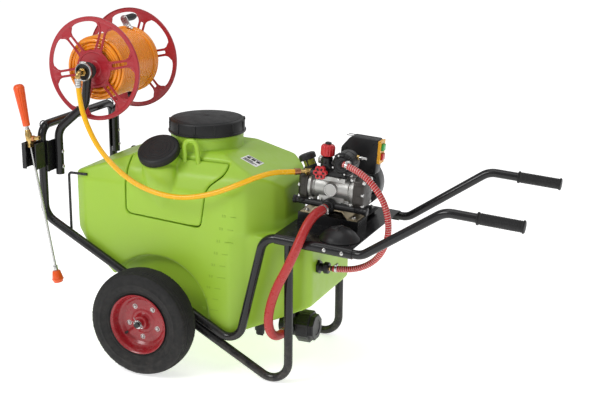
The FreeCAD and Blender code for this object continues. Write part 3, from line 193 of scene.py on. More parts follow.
M = {
    "frame": material("frame_enamel", (0.009, 0.009, 0.010), 0.22, coat=0.12, ior=1.4, grain=0.04, lumps=0.05,
                      lump_scale=90, dust=0.25, dust_top=0.25),
    "rim": material("rim_enamel", (0.33, 0.010, 0.018), 0.27, coat=0.2, lumps=0.05, lump_scale=70, vary=0.08,
                    dust=0.2, dust_top=0.4),
    "reel": material("reel_enamel", (0.38, 0.014, 0.024), 0.34, coat=0.15, lumps=0.08, lump_scale=160,
                     vary=0.08),
    "tyre": material("tyre_rubber", (0.010, 0.010, 0.010), 0.66, ior=1.4, vary=0.25, vary_scale=14,
                     grain=0.25, grain_scale=1400, lumps=0.05, dust=0.32, dust_top=0.55,
                     dust_color=(0.09, 0.08, 0.07), edge=0.0008),
    "tank": material("tank_polyethylene", (0.345, 0.565, 0.040), 0.4, vary=0.05, vary_scale=4, grain=0.10,
                     grain_scale=700, lumps=0.06, lump_scale=22, subsurface=0.12, dust=0.08, edge=0.0),
    # darker green of the raised level marks: painted shade standing for the shadow along the moulded ridges
    "mark": material("level_mark_painted_shade", (0.28, 0.48, 0.03), 0.4, vary=0.08, edge=0.0),
    "lid": material("lid_plastic", (0.010, 0.010, 0.011), 0.45, ior=1.42, grain=0.3, grain_scale=1500,
                    vary=0.2, edge=0.001),
    "cover": material("cover_plastic", (0.012, 0.012, 0.013), 0.36, ior=1.42, grain=0.12, grain_scale=1300,
                      vary=0.2),
    "motor": material("motor_enamel", (0.014, 0.014, 0.015), 0.38, ior=1.42, lumps=0.12, lump_scale=240,
                      vary=0.2),
    "steel": material("zinc_steel", (0.56, 0.56, 0.55), 0.27, metal=1.0, grain=0.08, vary=0.14, vary_scale=30,
                      edge=0.0005),
    "wire": material("spring_steel", (0.5, 0.5, 0.5), 0.2, metal=1.0, vary=0.1, edge=0.0),
    "zinc": material("yellow_zinc", (0.62, 0.50, 0.27), 0.33, metal=0.9, vary=0.25, vary_scale=22, grain=0.08,
                     tint=(0.66, 0.56, 0.40), edge=0.0008),
    "alu": material("cast_aluminium", (0.50, 0.50, 0.48), 0.42, metal=0.85, lumps=0.16, lump_scale=420,
                    vary=0.14, vary_scale=18, edge=0.0018),
    "head": material("pump_head_paint", (0.05, 0.045, 0.04), 0.4, metal=0.35, lumps=0.14, lump_scale=380,
                     vary=0.18, edge=0.002),
    "brass": material("turned_brass", (0.60, 0.41, 0.15), 0.26, metal=1.0, vary=0.14, vary_scale=40, grain=0.06,
                      edge=0.0005),
    "copper": material("copper_nut", (0.52, 0.24, 0.12), 0.32, metal=1.0, vary=0.2, vary_scale=50, edge=0.0005),
    "orange": material("orange_plastic", (0.80, 0.095, 0.008), 0.32, vary=0.06, grain=0.1, grain_scale=1200,
                       subsurface=0.05),
    "yellow": material("pressure_hose", (0.88, 0.46, 0.002), 0.24, vary=0.05, vary_scale=8, coat=0.08,
                       grain=0.05, subsurface=0.08, edge=0.0),
    "wound": material("wound_pressure_hose", (0.86, 0.28, 0.008), 0.22, vary=0.05, vary_scale=9, coat=0.4,
                      grain=0.05, subsurface=0.08, edge=0.0),
    "hose": material("suction_hose_pvc", (0.45, 0.022, 0.022), 0.3, vary=0.05, coat=0.08, subsurface=0.08,
                     edge=0.0),
    "bypass": material("bypass_hose_pvc", (0.48, 0.022, 0.024), 0.26, vary=0.08, coat=0.1, subsurface=0.05,
                       edge=0.0),
    "thread": material("spiral_thread", (0.75, 0.66, 0.6), 0.35, vary=0.08, edge=0.0),
    "red": material("red_plastic", (0.56, 0.014, 0.02), 0.26, coat=0.2, vary=0.06, grain=0.06, edge=0.0008),
    "green": material("green_plastic", (0.02, 0.42, 0.08), 0.28, vary=0.06, edge=0.0006),
    "amber": material("switch_plate_plastic", (0.86, 0.42, 0.02), 0.3, vary=0.06, grain=0.06, edge=0.0006),
    "rubber": material("black_rubber", (0.016, 0.016, 0.016), 0.55, grain=0.3, grain_scale=1100, vary=0.25),
    "grip": material("grip_rubber", (0.010, 0.010, 0.0105), 0.54, ior=1.42, grain=0.35, grain_scale=1500,
                     vary=0.2, edge=0.0),
    "sight": material("sight_glass_plastic", (0.62, 0.66, 0.12), 0.12, vary=0.1, transmission=0.55, ior=1.46,
                      edge=0.0006),
    "fan": material("fan_cover_plastic", (0.085, 0.087, 0.09), 0.4, grain=0.15, vary=0.1),
    "label": material("label_vinyl", (0.82, 0.82, 0.80), 0.3, vary=0.02, edge=0.0),
    # black for the printed label bars, and painted shade in the pump boss groove and the tap knob recesses
    "dark": material("print_and_painted_shade_black", (0.004, 0.004, 0.004), 0.7, vary=0.3, edge=0.0),
}


# ---- mesh helpers ---------------------------------------------------------------------------------
def add_object(name, mesh, mat, body, node=None, sharp=35):
    ob = bpy.data.objects.new(name, mesh)
    bpy.context.scene.collection.objects.link(ob)
    if mat:
        mesh.materials.clear()
        mesh.materials.append(M[mat])
    if mesh.polygons:
        mesh.shade_smooth()
        if sharp:
            mesh.set_sharp_from_angle(angle=math.radians(sharp))
    if body:
        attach(ob, body)
    if node:
        for n in ([node] if isinstance(node, str) else node):
            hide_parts(n)
    return ob


def mesh_from(verts, faces, name="m"):
    me = bpy.data.meshes.new(name)
    me.from_pydata([tuple(v) for v in verts], [], faces)
    me.validate()
    me.update()
    return me


def frame_axes(axis):
    a = Vector(axis).normalized()
    ref = X_AXIS if abs(a.x) < 0.8 else Z_AXIS
    u = (ref - a * ref.dot(a)).normalized()
    return a, u, a.cross(u)


def around(origin, axis, u, v, angle):
    """Placement in millimetres: outwards from an axis at an angle, sideways, and along the axis."""
    d = u * math.cos(angle) + v * math.sin(angle)
    e = -u * math.sin(angle) + v * math.cos(angle)
    return lambda x, y, z: origin + d * (x * MM) + e * (y * MM) + axis * (z * MM)


def lathe_data(profile, origin, axis, segs=96, closed=False, wobble=None, start=0.0):
    """Vertices and faces of profile (radius, along) in millimetres turned about an axis."""
    a, u, v = frame_axes(axis)
    verts, faces = [], []
    n = len(profile)
    for i in range(segs):
        t = start + 2 * math.pi * i / segs
        d = u * math.cos(t) + v * math.sin(t)
        for j, (r, h) in enumerate(profile):
            k = wobble(t, j, r, h) if wobble else 1.0
            verts.append(Vector(origin) + a * (h * MM) + d * (r * k * MM))
    last = n if closed else n - 1
    for i in range(segs):
        for j in range(last):
            p, q = i * n + j, i * n + (j + 1) % n
            r, s = ((i + 1) % segs) * n + (j + 1) % n, ((i + 1) % segs) * n + j
            faces.append((p, q, r, s))
    if not closed:
        for j in (0, n - 1):
            if profile[j][0] > 1e-6:
                ring = [i * n + j for i in range(segs)]
                faces.append(ring if j else ring[::-1])
    return verts, faces


def clean(me, dist=1e-6):
    bm = bmesh.new()
    bm.from_mesh(me)
    bmesh.ops.remove_doubles(bm, verts=bm.verts, dist=dist)
    bmesh.ops.dissolve_degenerate(bm, edges=bm.edges, dist=dist)
    bmesh.ops.recalc_face_normals(bm, faces=bm.faces)
    bm.to_mesh(me)
    bm.free()
    me.update()
    return me


def soften(profile, r=1.2):
    """Profile with every corner cut by two points, for rounded edges."""
    out = [profile[0]]
    for i in range(1, len(profile) - 1):
        p, c, q = Vector(profile[i - 1]), Vector(profile[i]), Vector(profile[i + 1])
        a, b = (p - c), (q - c)
        if a.length < 1e-6 or b.length < 1e-6:
            continue
        k = min(r, a.length * 0.4, b.length * 0.4)
        p1, p2 = c + a.normalized() * k, c + b.normalized() * k
        mid = (p1 + p2) * 0.5 * 0.5 + c * 0.5
        out += [tuple(p1), tuple(mid), tuple(p2)]
    out.append(profile[-1])
    return out


class Build:
    """Collects many shapes into one mesh."""

    def __init__(self):
        self.verts, self.faces = [], []

    def add(self, verts, faces):
        k = len(self.verts)
        self.verts += list(verts)
        self.faces += [tuple(i + k for i in f) for f in faces]

    def lathe(self, profile, origin, axis, segs=48, closed=False, soft=0.0, wobble=None, start=0.0):
        if soft and not closed:
            profile = soften(profile, soft)
        self.add(*lathe_data(profile, origin, axis, segs, closed, wobble, start))

    def rod(self, a, b, r, segs=24, soft=0.6):
        a, b = Vector(a), Vector(b)
        length = (b - a).length / MM
        prof = [(0, 0), (r, 0), (r, length), (0, length)]
        self.lathe(prof, a, b - a, segs, soft=soft)

    def hexagon(self, a, b, across, soft=0.8):
        a, b = Vector(a), Vector(b)
        length = (b - a).length / MM
        r = across / math.sqrt(3)
        c = min(soft, length * 0.3)
        prof = [(0, 0), (r - 1.2 * c, 0), (r, c), (r, length - c), (r - 1.2 * c, length), (0, length)]
        self.lathe(prof, a, b - a, 6)

    def box(self, lo, hi, soft=1.0, to=None):
        """Box with chamfered edges, given in millimetres and placed by the function to."""
        x0, y0, z0 = lo
        x1, y1, z1 = hi
        c = min(soft, 0.45 * min(x1 - x0, y1 - y0, z1 - z0))
        bm = bmesh.new()
        bmesh.ops.create_cube(bm, size=1.0)
        for v in bm.verts:
            v.co = Vector((x0 + (v.co.x + 0.5) * (x1 - x0), y0 + (v.co.y + 0.5) * (y1 - y0),
                           z0 + (v.co.z + 0.5) * (z1 - z0)))
        if c > 0:
            bmesh.ops.bevel(bm, geom=bm.edges[:], offset=c, segments=3, profile=0.6, affect="EDGES")
        bm.verts.index_update()
        place = to or P
        self.add([place(*v.co) for v in bm.verts], [[v.index for v in f.verts] for f in bm.faces])
        bm.free()

    def sweep(self, points, r, segs=16, closed=False, cap=True, ribs=None):
        """Round tube through points (vectors), of radius r in millimetres."""
        pts = [Vector(p) for p in points]
        n = len(pts)
        tang = []
        for i in range(n):
            a = pts[(i - 1) % n] if closed or i else pts[0]
            b = pts[(i + 1) % n] if closed or i < n - 1 else pts[-1]
            tang.append((b - a).normalized())
        _, u, _ = frame_axes(tang[0])
        verts, faces = [], []
        for i in range(n):
            u = (u - tang[i] * u.dot(tang[i])).normalized()
            v = tang[i].cross(u)
            rr = (r(i) if callable(r) else r) * MM
            for j in range(segs):
                t = 2 * math.pi * j / segs
                k = ribs(i, t) if ribs else 1.0
                verts.append(pts[i] + (u * math.cos(t) + v * math.sin(t)) * rr * k)
        for i in range(n if closed else n - 1):
            for j in range(segs):
                a, b = i * segs + j, i * segs + (j + 1) % segs
                c, d = ((i + 1) % n) * segs + (j + 1) % segs, ((i + 1) % n) * segs + j
                faces.append((a, b, c, d))
        if cap and not closed:
            faces.append(tuple(range(segs))[::-1])
            faces.append(tuple((n - 1) * segs + j for j in range(segs)))
        self.add(verts, faces)

    def layers(self, outline, depths, to):
        """Solid of one outline at several depths, each with its own inset, in millimetres."""
        n, first = len(outline), (len(depths) - 1) * len(outline)
        verts = [to(a, b, depth) for depth, inset in depths for a, b in grow(outline, -inset)]
        faces = [(k + i, k + (i + 1) % n, k + n + (i + 1) % n, k + n + i) for k in range(0, first, n)
                 for i in range(n)]
        self.add(verts, faces + [tuple(range(n))[::-1], tuple(first + i for i in range(n))])

    def object(self, name, mat, body="chassis", node=None, sharp=35):
        return add_object(name, clean(mesh_from(self.verts, self.faces, name)), mat, body, node, sharp)


def smooth_path(points, steps=10, closed=False):
    """Catmull-Rom line through points."""
    pts = [Vector(p) for p in points]
    n = len(pts)
    out = []
    for i in range(n if closed else n - 1):
        p0 = pts[(i - 1) % n] if closed or i else pts[0]
        p1, p2 = pts[i], pts[(i + 1) % n]
        p3 = pts[(i + 2) % n] if closed or i < n - 2 else pts[-1]
        for k in range(steps):
            t = k / steps
            out.append(0.5 * ((2 * p1) + (p2 - p0) * t + (2 * p0 - 5 * p1 + 4 * p2 - p3) * t * t
                              + (3 * p1 - p0 - 3 * p2 + p3) * t ** 3))
    if not closed:
        out.append(pts[-1])
    return out


def temp(mesh):
    """Helper object that is removed again."""
    ob = bpy.data.objects.new("temp", mesh)
    bpy.context.scene.collection.objects.link(ob)
    return ob


def applied(ob):
    """Mesh of an object with its modifiers applied; the object is removed."""
    deps = bpy.context.evaluated_depsgraph_get()
    me = bpy.data.meshes.new_from_object(ob.evaluated_get(deps))
    bpy.data.objects.remove(ob)
    return me


def open_spline(name, points, resolution):
    """Curve of one open smooth spline with the given control points."""
    curve = bpy.data.curves.new(name, "CURVE")
    curve.dimensions = "3D"
    spline = curve.splines.new("NURBS")
    spline.points.add(len(points) - 1)
    for sp, p in zip(spline.points, points):
        sp.co = (*p, 1.0)
    spline.order_u = 3
    spline.use_endpoint_u = True
    spline.resolution_u = resolution
    curve.resolution_u = resolution
    return curve


def mesh_of_curve(curve):
    """Mesh made from a curve; the curve is removed."""
    me = applied(temp(curve))
    bpy.data.curves.remove(curve)
    return me


def spline_points(points, resolution=12):
    """Points along the smooth line of a route."""
    me = mesh_of_curve(open_spline("line", points, resolution))
    pts = [v.co.copy() for v in me.vertices]
    bpy.data.meshes.remove(me)
    return pts


def length_of(pts):
    return sum((b - a).length for a, b in zip(pts, pts[1:]))


def resample(pts, step):
    """Evenly spaced points along a line."""
    out, carry = [pts[0].copy()], 0.0
    for a, b in zip(pts, pts[1:]):
        d = (b - a).length
        while carry + d >= step and d > 1e-9:
            t = (step - carry) / d
            a = a + (b - a) * t
            out.append(a.copy())
            d = (b - a).length
            carry = 0.0
        carry += d
    if (out[-1] - pts[-1]).length > step * 0.3:
        out.append(pts[-1].copy())
    return out


# ---- solid helpers for moulded shapes -------------------------------------------------------------
def prism(points, axis, lo, hi):
    """Closed mesh of a polygon in millimetres pushed along one axis."""
    n = len(points)
    verts = []
    for w in (lo, hi):
        for a, b in points:
            verts.append(P(a, w, b) if axis == "y" else P(a, b, w) if axis == "z" else P(w, a, b))
    faces = [tuple(range(n)), tuple(range(2 * n - 1, n - 1, -1))]
    faces += [(i, (i + 1) % n, n + (i + 1) % n, n + i) for i in range(n)]
    return clean(mesh_from(verts, faces))


def boolean(mesh, other, how):
    a, b = temp(mesh), temp(other)
    mod = a.modifiers.new("b", "BOOLEAN")
    mod.operation = how
    mod.solver = "EXACT"
    mod.object = b
    me = applied(a)
    bpy.data.objects.remove(b)
    return me


def remeshed(mesh, voxel, smooth):
    """Even skin over a solid, with its corners rounded by smoothing."""
    ob = temp(mesh)
    mod = ob.modifiers.new("r", "REMESH")
    mod.mode = "VOXEL"
    mod.voxel_size = voxel
    if smooth:
        sm = ob.modifiers.new("s", "SMOOTH")
        sm.factor = 0.5
        sm.iterations = smooth
    return applied(ob)


# ---- tank -----------------------------------------------------------------------------------------
SIDE_VIEW = [(-372, 690), (-375, 482), (-196, 309), (-96, 175), (-60, 145), (285, 140), (352, 166), (592, 284),
             (592, 532), (478, 536), (458, 560), (446, 690), (412, 724), (225, 802), (-30, 808), (-300, 716)]
UPPER_PLAN = [(-376, 165), (-360, 205), (-310, 232), (305, 232), (345, 218), (425, 140), (452, 90)]
LOWER_PLAN = [(-376, 165), (-360, 205), (-310, 232), (285, 232), (350, 206), (575, 202), (593, 185)]
FRONT_VIEW = [(232, 120), (232, 672), (212, 728), (150, 796), (90, 830)]
AUX_FACE = [(-137, 560), (172, 538), (196, 690), (262, 742), (262, 850), (-137, 850)]


def both_sides(half):
    return half + [(x, -y) for x, y in reversed(half)]


def circle(cx, cz, r, n=72):
    return [(cx + r * math.cos(2 * math.pi * i / n), cz + r * math.sin(2 * math.pi * i / n)) for i in range(n)]


def tank_body():
    side = prism(SIDE_VIEW, "y", -232, 232)
    upper = prism(both_sides(UPPER_PLAN), "z", 528, 900)
    lower = prism(both_sides(LOWER_PLAN), "z", 100, 528.5)
    plan = boolean(upper, lower, "UNION")
    front = [(y, z) for y, z in FRONT_VIEW] + [(-y, z) for y, z in reversed(FRONT_VIEW)]
    body = boolean(side, plan, "INTERSECT")
    body = boolean(body, prism(front, "x", -400, 620), "INTERSECT")
    for s in (-1, 1):
        arch = prism(circle(-15, 195, 212), "y", min(s * 190, s * 300), max(s * 190, s * 300))
        body = boolean(body, arch, "DIFFERENCE")
    groove = prism([(-20, 90), (20, 90), (20, 224), (-20, 224)], "y", -260, 260)
    body = boolean(body, groove, "DIFFERENCE")
    return remeshed(body, 0.0055, 20)


def grow(points, d):
    """Polygon pushed outward by d, inward where d is negative."""
    out, n = [], len(points)
    area = sum(points[i][0] * points[(i + 1) % n][1] - points[(i + 1) % n][0] * points[i][1] for i in range(n))
    sign = 1 if area > 0 else -1
    for i in range(n):
        p, c, q = Vector(points[i - 1]), Vector(points[i]), Vector(points[(i + 1) % n])
        e1, e2 = (c - p).normalized(), (q - c).normalized()
        n1, n2 = Vector((e1.y, -e1.x)) * sign, Vector((e2.y, -e2.x)) * sign
        m = n1 + n2
        out.append(tuple(c + m * (d / max(0.3, m.dot(n1)))))
    return out


def rounded(points, r, steps=5):
    """Polygon with round corners."""
    out, n = [], len(points)
    for i in range(n):
        p, c, q = Vector(points[i - 1]), Vector(points[i]), Vector(points[(i + 1) % n])
        a, b = (p - c), (q - c)
        k = min(r, a.length * 0.42, b.length * 0.42)
        p1, p2 = c + a.normalized() * k, c + b.normalized() * k
        for j in range(steps + 1):
            t = j / steps
            out.append(tuple(p1 * (1 - t) ** 2 + c * 2 * t * (1 - t) + p2 * t * t))
    return out


tank_skin = tank_body()
NECK_AXIS = P(93, -10, 0)

# main tank: pocket for the hand-wash tank, then neck, seam line and marks
pocket = prism(rounded(grow(AUX_FACE, 1.0), 26), "y", -300, -162)
main = boolean(tank_skin.copy(), pocket, "DIFFERENCE")
main = remeshed(main, 0.0042, 2)
add_object("tank_shell_moulded", main, "tank", "chassis", "tank_shell", sharp=0)

neck = Build()
neck.lathe([(150, 776), (139, 792), (136, 802), (135, 830), (136, 836), (136, 846), (133, 850), (126, 850),
            (126, 877), (120, 877), (120, 800)], NECK_AXIS, Z_AXIS, 128, soft=2.5)
neck.object("tank_neck_ring", "tank", sharp=50)

# the marks get a darker green than the tank as painted shade along their ridges
marks = Build()
for i in range(9):
    z = 232 + 41.5 * i * (1 + 0.012 * i)
    x = 193 + (z - 232) * 0.234
    marks.box((x + 14, -233.2, z - 1.2), (x + 38 + (10 if i % 3 == 0 else 0), -230.8, z + 1.2), 0.8)
    for k in range(2):
        marks.box((x - 18 + 9 * k, -233.0, z - 4.5), (x - 13 + 9 * k, -231.0, z + 5.5), 0.9)
marks.object("level_marks", "mark")

# hand-wash tank: cut from the same skin, with its tilted neck
AUX_TOP = P(-5, -213, 816)
AUX_DIR = Vector((0, -0.5, 0.866)).normalized()
region = prism(rounded(grow(AUX_FACE, -2.2), 24), "y", -300, -166)
aux = boolean(tank_skin.copy(), region, "INTERSECT")
cone = Build()
BULGE = [(588, 3, 12), (600, 17, 14), (622, 37, 18), (650, 52, 24), (690, 62, 32), (725, 66, 38),
         (746, 66, 41), (758, 58, 34)]
rings = [P(-5 + (783 - z) * 0.119 + half * math.cos(math.pi * k / 24),
           -220 + deep * math.sin(math.pi * k / 24), z)
         for z, half, deep in BULGE for k in range(48)]
bands = [(a * 48 + k, a * 48 + (k + 1) % 48, (a + 1) * 48 + (k + 1) % 48, (a + 1) * 48 + k)
         for a in range(len(BULGE) - 1) for k in range(48)]
cone.add(rings, bands + [tuple(range(48))[::-1], tuple(range(len(rings) - 48, len(rings)))])
cone.lathe([(0, -90), (60, -90), (64, -60), (64, -27), (0, -27)], AUX_TOP, AUX_DIR, 64)
plug = clean(mesh_from(cone.verts, cone.faces))
keep = prism([(-150, 545), (260, 545), (260, 850), (-150, 850)], "y", -330, -166)
aux_all = temp(aux)
plug_ob = temp(plug)
bm = bmesh.new()
bm.from_mesh(aux_all.data)
bm.from_mesh(plug_ob.data)
joined = bpy.data.meshes.new("joined")
bm.to_mesh(joined)
bm.free()
bpy.data.objects.remove(aux_all)
bpy.data.objects.remove(plug_ob)
joined = remeshed(joined, 0.004, 2)
joined = boolean(joined, keep, "INTERSECT")
joined = remeshed(joined, 0.0038, 5)
add_object("hand_wash_tank_moulded", joined, "tank", "chassis", "aux_tank", sharp=0)

collar = Build()
collar.lathe([(54, -60), (64, -50), (64.5, -30), (62, -27), (60, -26), (60, -9), (54, -9)], AUX_TOP, AUX_DIR,
             96, closed=True)
collar.object("hand_wash_neck", "tank", sharp=50)

loop = Build()
loop_line = smooth_path([P(84, -175, 752), P(84, -175, 790), P(84, -175, 824), P(92, -175, 840),
                         P(108, -175, 844.5), P(124, -175, 841), P(133, -175, 826), P(137, -175, 790),
                         P(140, -175, 752)], 8)
loop.sweep(loop_line, 6.8, 20, ribs=lambda i, t: 1.0 + 0.35 * abs(math.cos(t)) ** 3)
loop.object("hand_wash_loop_handle", "tank", sharp=0)

cap = Build()
knurl = lambda t, j, r, h: 1.0 + (0.012 if (j in KNURL and int(t / (2 * math.pi) * 180) % 2) else 0.0)
KNURL = {3, 4, 5, 6}
cap.lathe([(0, -6), (60.5, -6), (60.5, -26), (76.5, -26), (77, -25), (77, -5), (76.5, -4), (73, 0), (66, 1.2),
           (65, 0.2), (63, 0.2), (62, 1.3), (52, 1.6), (51, 0.6), (49, 0.6), (48, 1.7), (38, 2.0), (37, 1.0),
           (35, 1.0), (34, 2.0), (24, 2.1),
           (23, 1.1), (21, 1.1), (20, 2.1), (0.0, 2.2)], AUX_TOP, AUX_DIR, 360, wobble=knurl)
cap.object("hand_wash_cap_knurled", "lid", "wash_cap", "aux_cap", sharp=40)

# filler lid: low skirted dome with lugs
lid = Build()
lid_at = P(93, -10, 850)
lid.lathe([(0, 38), (126.8, 38), (126.8, 0.6), (144, 0.6), (145, 2), (145, 7), (141, 9.5), (139.6, 42),
           (138, 46), (134.6, 49.2), (128, 50.8), (127, 49.6), (124, 49.8), (123, 51.4), (90, 55.2),
           (60, 57.4), (30, 58.6), (0, 59.0)],
          lid_at, Z_AXIS, 160)
for i in range(12):
    put = around(lid_at, Z_AXIS, X_AXIS, Y_AXIS, 2 * math.pi * i / 12 + 0.13)
    lid.box((137, -4, 8), (143.4, 4, 43), 1.6, to=put)
for i in range(2):
    put = around(lid_at, Z_AXIS, X_AXIS, Y_AXIS, math.pi * i + 0.5)
    lid.box((134, -17, 42), (141.6, 17, 49), 1.8, to=put)
lid.lathe([(13, 57.5), (13, 58.8), (11, 60), (0, 60.2)], lid_at, Z_AXIS, 32)
lid.object("filler_lid_dome", "lid", "filler_lid", "main_lid", sharp=32)

# blank label with plain bars, on the roof behind the lid
corners = [P(273, -104, 782), P(337, -106, 756), P(339, -38, 755), P(277, -42, 780)]
tank_tree = BVHTree.FromPolygons([v.co.copy() for v in tank_skin.vertices],
                                 [list(p.vertices) for p in tank_skin.polygons])


def on_tank(p, lift):
    """Nearest point of the tank's skin, lifted by so many millimetres."""
    hit, normal, _, _ = tank_tree.find_nearest(p)
    return hit + normal * (lift * MM)


def label_patch(name, mat, lift, *areas):
    """Thin sheets on the tank, each given as a part of the label's length and width."""
    verts, faces, nu, nv = [], [], 12, 6
    for a0, a1, b0, b1 in areas:
        first = len(verts)
        for i in range(nu + 1):
            for j in range(nv + 1):
                a, b = a0 + (a1 - a0) * i / nu, b0 + (b1 - b0) * j / nv
                verts.append(on_tank(corners[0] * (1 - a) * (1 - b) + corners[1] * a * (1 - b)
                                     + corners[2] * a * b + corners[3] * (1 - a) * b, lift))
        faces += [(k, k + nv + 1, k + nv + 2, k + 1) for i in range(nu) for j in range(nv)
                  for k in [first + i * (nv + 1) + j]]
    sheet = temp(mesh_from(verts, faces, name))
    solid = sheet.modifiers.new("s", "SOLIDIFY")
    solid.thickness = 0.0006
    solid.offset = 0
    add_object(name, clean(applied(sheet)), mat, "chassis", sharp=40)


label_patch("blank_label", "label", 0.7, (0, 1, 0, 1))
label_patch("label_bars", "dark", 1.3, (0.08, 0.92, 0.86, 0.92), (0.08, 0.3, 0.55, 0.78),
            (0.38, 0.6, 0.55, 0.78), (0.68, 0.9, 0.55, 0.78), (0.08, 0.6, 0.36, 0.42), (0.08, 0.9, 0.24, 0.3),
            (0.08, 0.75, 0.12, 0.18))

# ---- wheels ---------------------------------------------------------------------------------------
TREAD = []
for k in range(-9, 10):
    y = k * 4.3
    crown = 199.5 - 0.0028 * y * y - (0.00002 * y ** 4) / 10
    groove = 3.2 if k % 2 == 0 and abs(k) < 8 else 0.0
    TREAD += [(crown - groove, y - 1.1), (crown - groove, y + 1.1)] if groove else [(crown, y - 1.6),
            (crown, y + 1.6)]
SIDE = [(190, 43.5), (184, 48), (176, 50.6), (166, 51.8), (158, 51.9), (156.5, 53.0), (152, 53.0),
        (150.5, 51.6), (141, 50), (132, 46.4), (126, 42.5), (124.6, 43.4), (121.5, 42.8), (120.5, 40.5),
        (114.5, 38.0), (110, 36.5), (106, 34)]
tyre_profile = [(r, -h) for r, h in reversed(SIDE)] + TREAD + SIDE
for name, s in (("left", -1), ("right", 1)):
    body = "wheel_" + name
    hub = P(0, s * 360, 200)
    out = Y_AXIS * s
    tyre = Build()
    lug = lambda t, j, r, h: 1.0 + (0.008 if (182 < r < 192 and int(t / (2 * math.pi) * 288) % 2 == 0) else 0.0)
    tyre.lathe(tyre_profile + [(104, 20), (104, -20)], hub, Y_AXIS, 288, closed=True,
               wobble=lug)
    tyre.object("tyre_" + name + "_ribbed", "tyre", body, "tyre_" + name, sharp=38)
    rim = Build()
    rim.lathe([(113, 45), (111, 46), (109, 44.5), (104.5, 40), (102.3, 33), (101.5, 24), (100, 17), (96, 12),
               (91.5, 10.4), (86, 6.4), (82.5, 2.4), (80, 1.4), (60, 1.2), (47, 1.4), (43.5, 3.4), (38, 4.4),
               (33, 5), (30, 7.5), (27, 11), (26.5, 22), (24.5, 26), (18, 27), (17, 40.2), (10.4, 40.4),
               (10.4, 38), (10.4, -38), (10.4, -40.4), (17, -40.2), (18, -27), (26, -24), (27, -11), (34, -5),
               (44, -3.5), (60, -3), (82, -4),
               (92, -9), (99, -14), (101.5, -24), (102.3, -33), (104.5, -40), (109, -44.5), (111, -46),
               (113, -45), (113.5, -43.6), (112.5, -41.5),
               (110, -40.6), (107.2, -38.2), (105.6, -33), (105.0, -20), (105.0, 20), (105.6, 33),
               (107.2, 38.2), (110, 40.6), (112.5, 41.5), (113.5, 43.6)],
              hub, out, 128, closed=True)
    rim.object("rim_" + name + "_dish", "rim", body, "rim_" + name, sharp=28)
    bolts = Build()
    for i in range(5):
        t = math.radians(-21.6 + 72 * i)
        at = hub + Vector((math.cos(t), 0, math.sin(t))) * 0.0615
        bolts.lathe([(0, 0.4), (9.6, 0.4), (9.6, 1.8), (7.6, 2.0), (7.3, 3.6), (6.2, 5.6), (4.2, 7.0),
                     (2.0, 7.7), (0, 7.9)], at, out, 32)
        bolts.hexagon(at - out * 0.009, at - out * 0.003, 11)
    bolts.object("rim_bolts_" + name, "steel", body, sharp=40)
    valve = Build()
    t = math.radians(218 if s < 0 else 322)
    v0 = hub + Vector((math.cos(t), 0, math.sin(t))) * 0.088 + out * 0.010
    v1 = hub + Vector((math.cos(t), 0, math.sin(t))) * 0.066 + out * 0.030
    valve.sweep(smooth_path([v0, (v0 + v1) / 2 + out * 0.003, v1], 5), lambda i: 5.4 - i * 0.16, 16)
    valve.rod(v1 - (v1 - v0).normalized() * 0.002, v1 + (v1 - v0).normalized() * 0.009, 4.0, 16)
    valve.object("tyre_valve_" + name, "rubber", body)
    wear = Build()
    wear.lathe([(10.6, 40.6), (16.4, 40.6), (16.4, 43.6), (10.6, 43.6)], hub, out, 48, closed=True)
    wear.object("axle_washer_" + name, "steel", sharp=40)
    wire = Build()
    pin = P(0, s * 406.5, 200)
    u1 = Vector((0.857, 0, -0.514))
    u2 = Vector((0.514, 0, 0.857))
    line = [pin - u1 * 0.021, pin - u1 * 0.012, pin + u1 * 0.012, pin + u1 * 0.019,
            pin + u1 * 0.0235 + u2 * 0.004, pin + u1 * 0.0225 + u2 * 0.0085, pin + u1 * 0.016 + u2 * 0.0105,
            pin + u1 * 0.008 + u2 * 0.0108, pin + u1 * 0.0 + u2 * 0.0135,
            pin - u1 * 0.008 + u2 * 0.0115, pin - u1 * 0.017 + u2 * 0.012, pin - u1 * 0.026 + u2 * 0.016]
    wire.sweep(smooth_path(line, 5), 1.4, 10)
    wire.object("axle_r_clip_" + name, "wire")
    for part in ("axle_washer_", "axle_r_clip_"):
        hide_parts("axle_clips")

# ---- reel -----------------------------------------------------------------------------------------
REEL = P(-307, 0, 1072)


def reel_at(r, deg, y):
    t = math.radians(deg)
    return REEL + Vector((math.cos(t) * r, y, math.sin(t) * r)) * MM


def polar(r, deg):
    return (r * math.cos(math.radians(deg)), r * math.sin(math.radians(deg)))


def flange_outline():
    """Openings of the flange: a wide one between spokes and a slot inside each twin spoke."""
    wide, slots = [], []
    for i in range(6):
        c = 12 + 60 * i
        hole = []
        for k in range(9):
            hole.append(polar(177.5 - 4.0 * (abs(k - 4) / 4) ** 6, c + 11.5 + 37 * k / 8))
        nxt = c + 60
        edge = [(168, 10.5), (158, 6.9), (146, 5.6), (110, 7.4), (78, 11.5)]
        hole += [polar(r, nxt - half) for r, half in edge]
        hole += [polar(71, nxt - 14.5 - 31 * k / 4) for k in range(5)]
        hole += [polar(r, c + half) for r, half in reversed(edge)]
        wide.append(hole)
        slot = [(148, -6.6), (148, 6.6), (112, 7.0), (80, 7.4), (80, -7.4), (112, -7.0)]
        t = math.radians(c)
        slots.append([(x * math.cos(t) - y * math.sin(t), x * math.sin(t) + y * math.cos(t)) for x, y in slot])
    return wide, slots


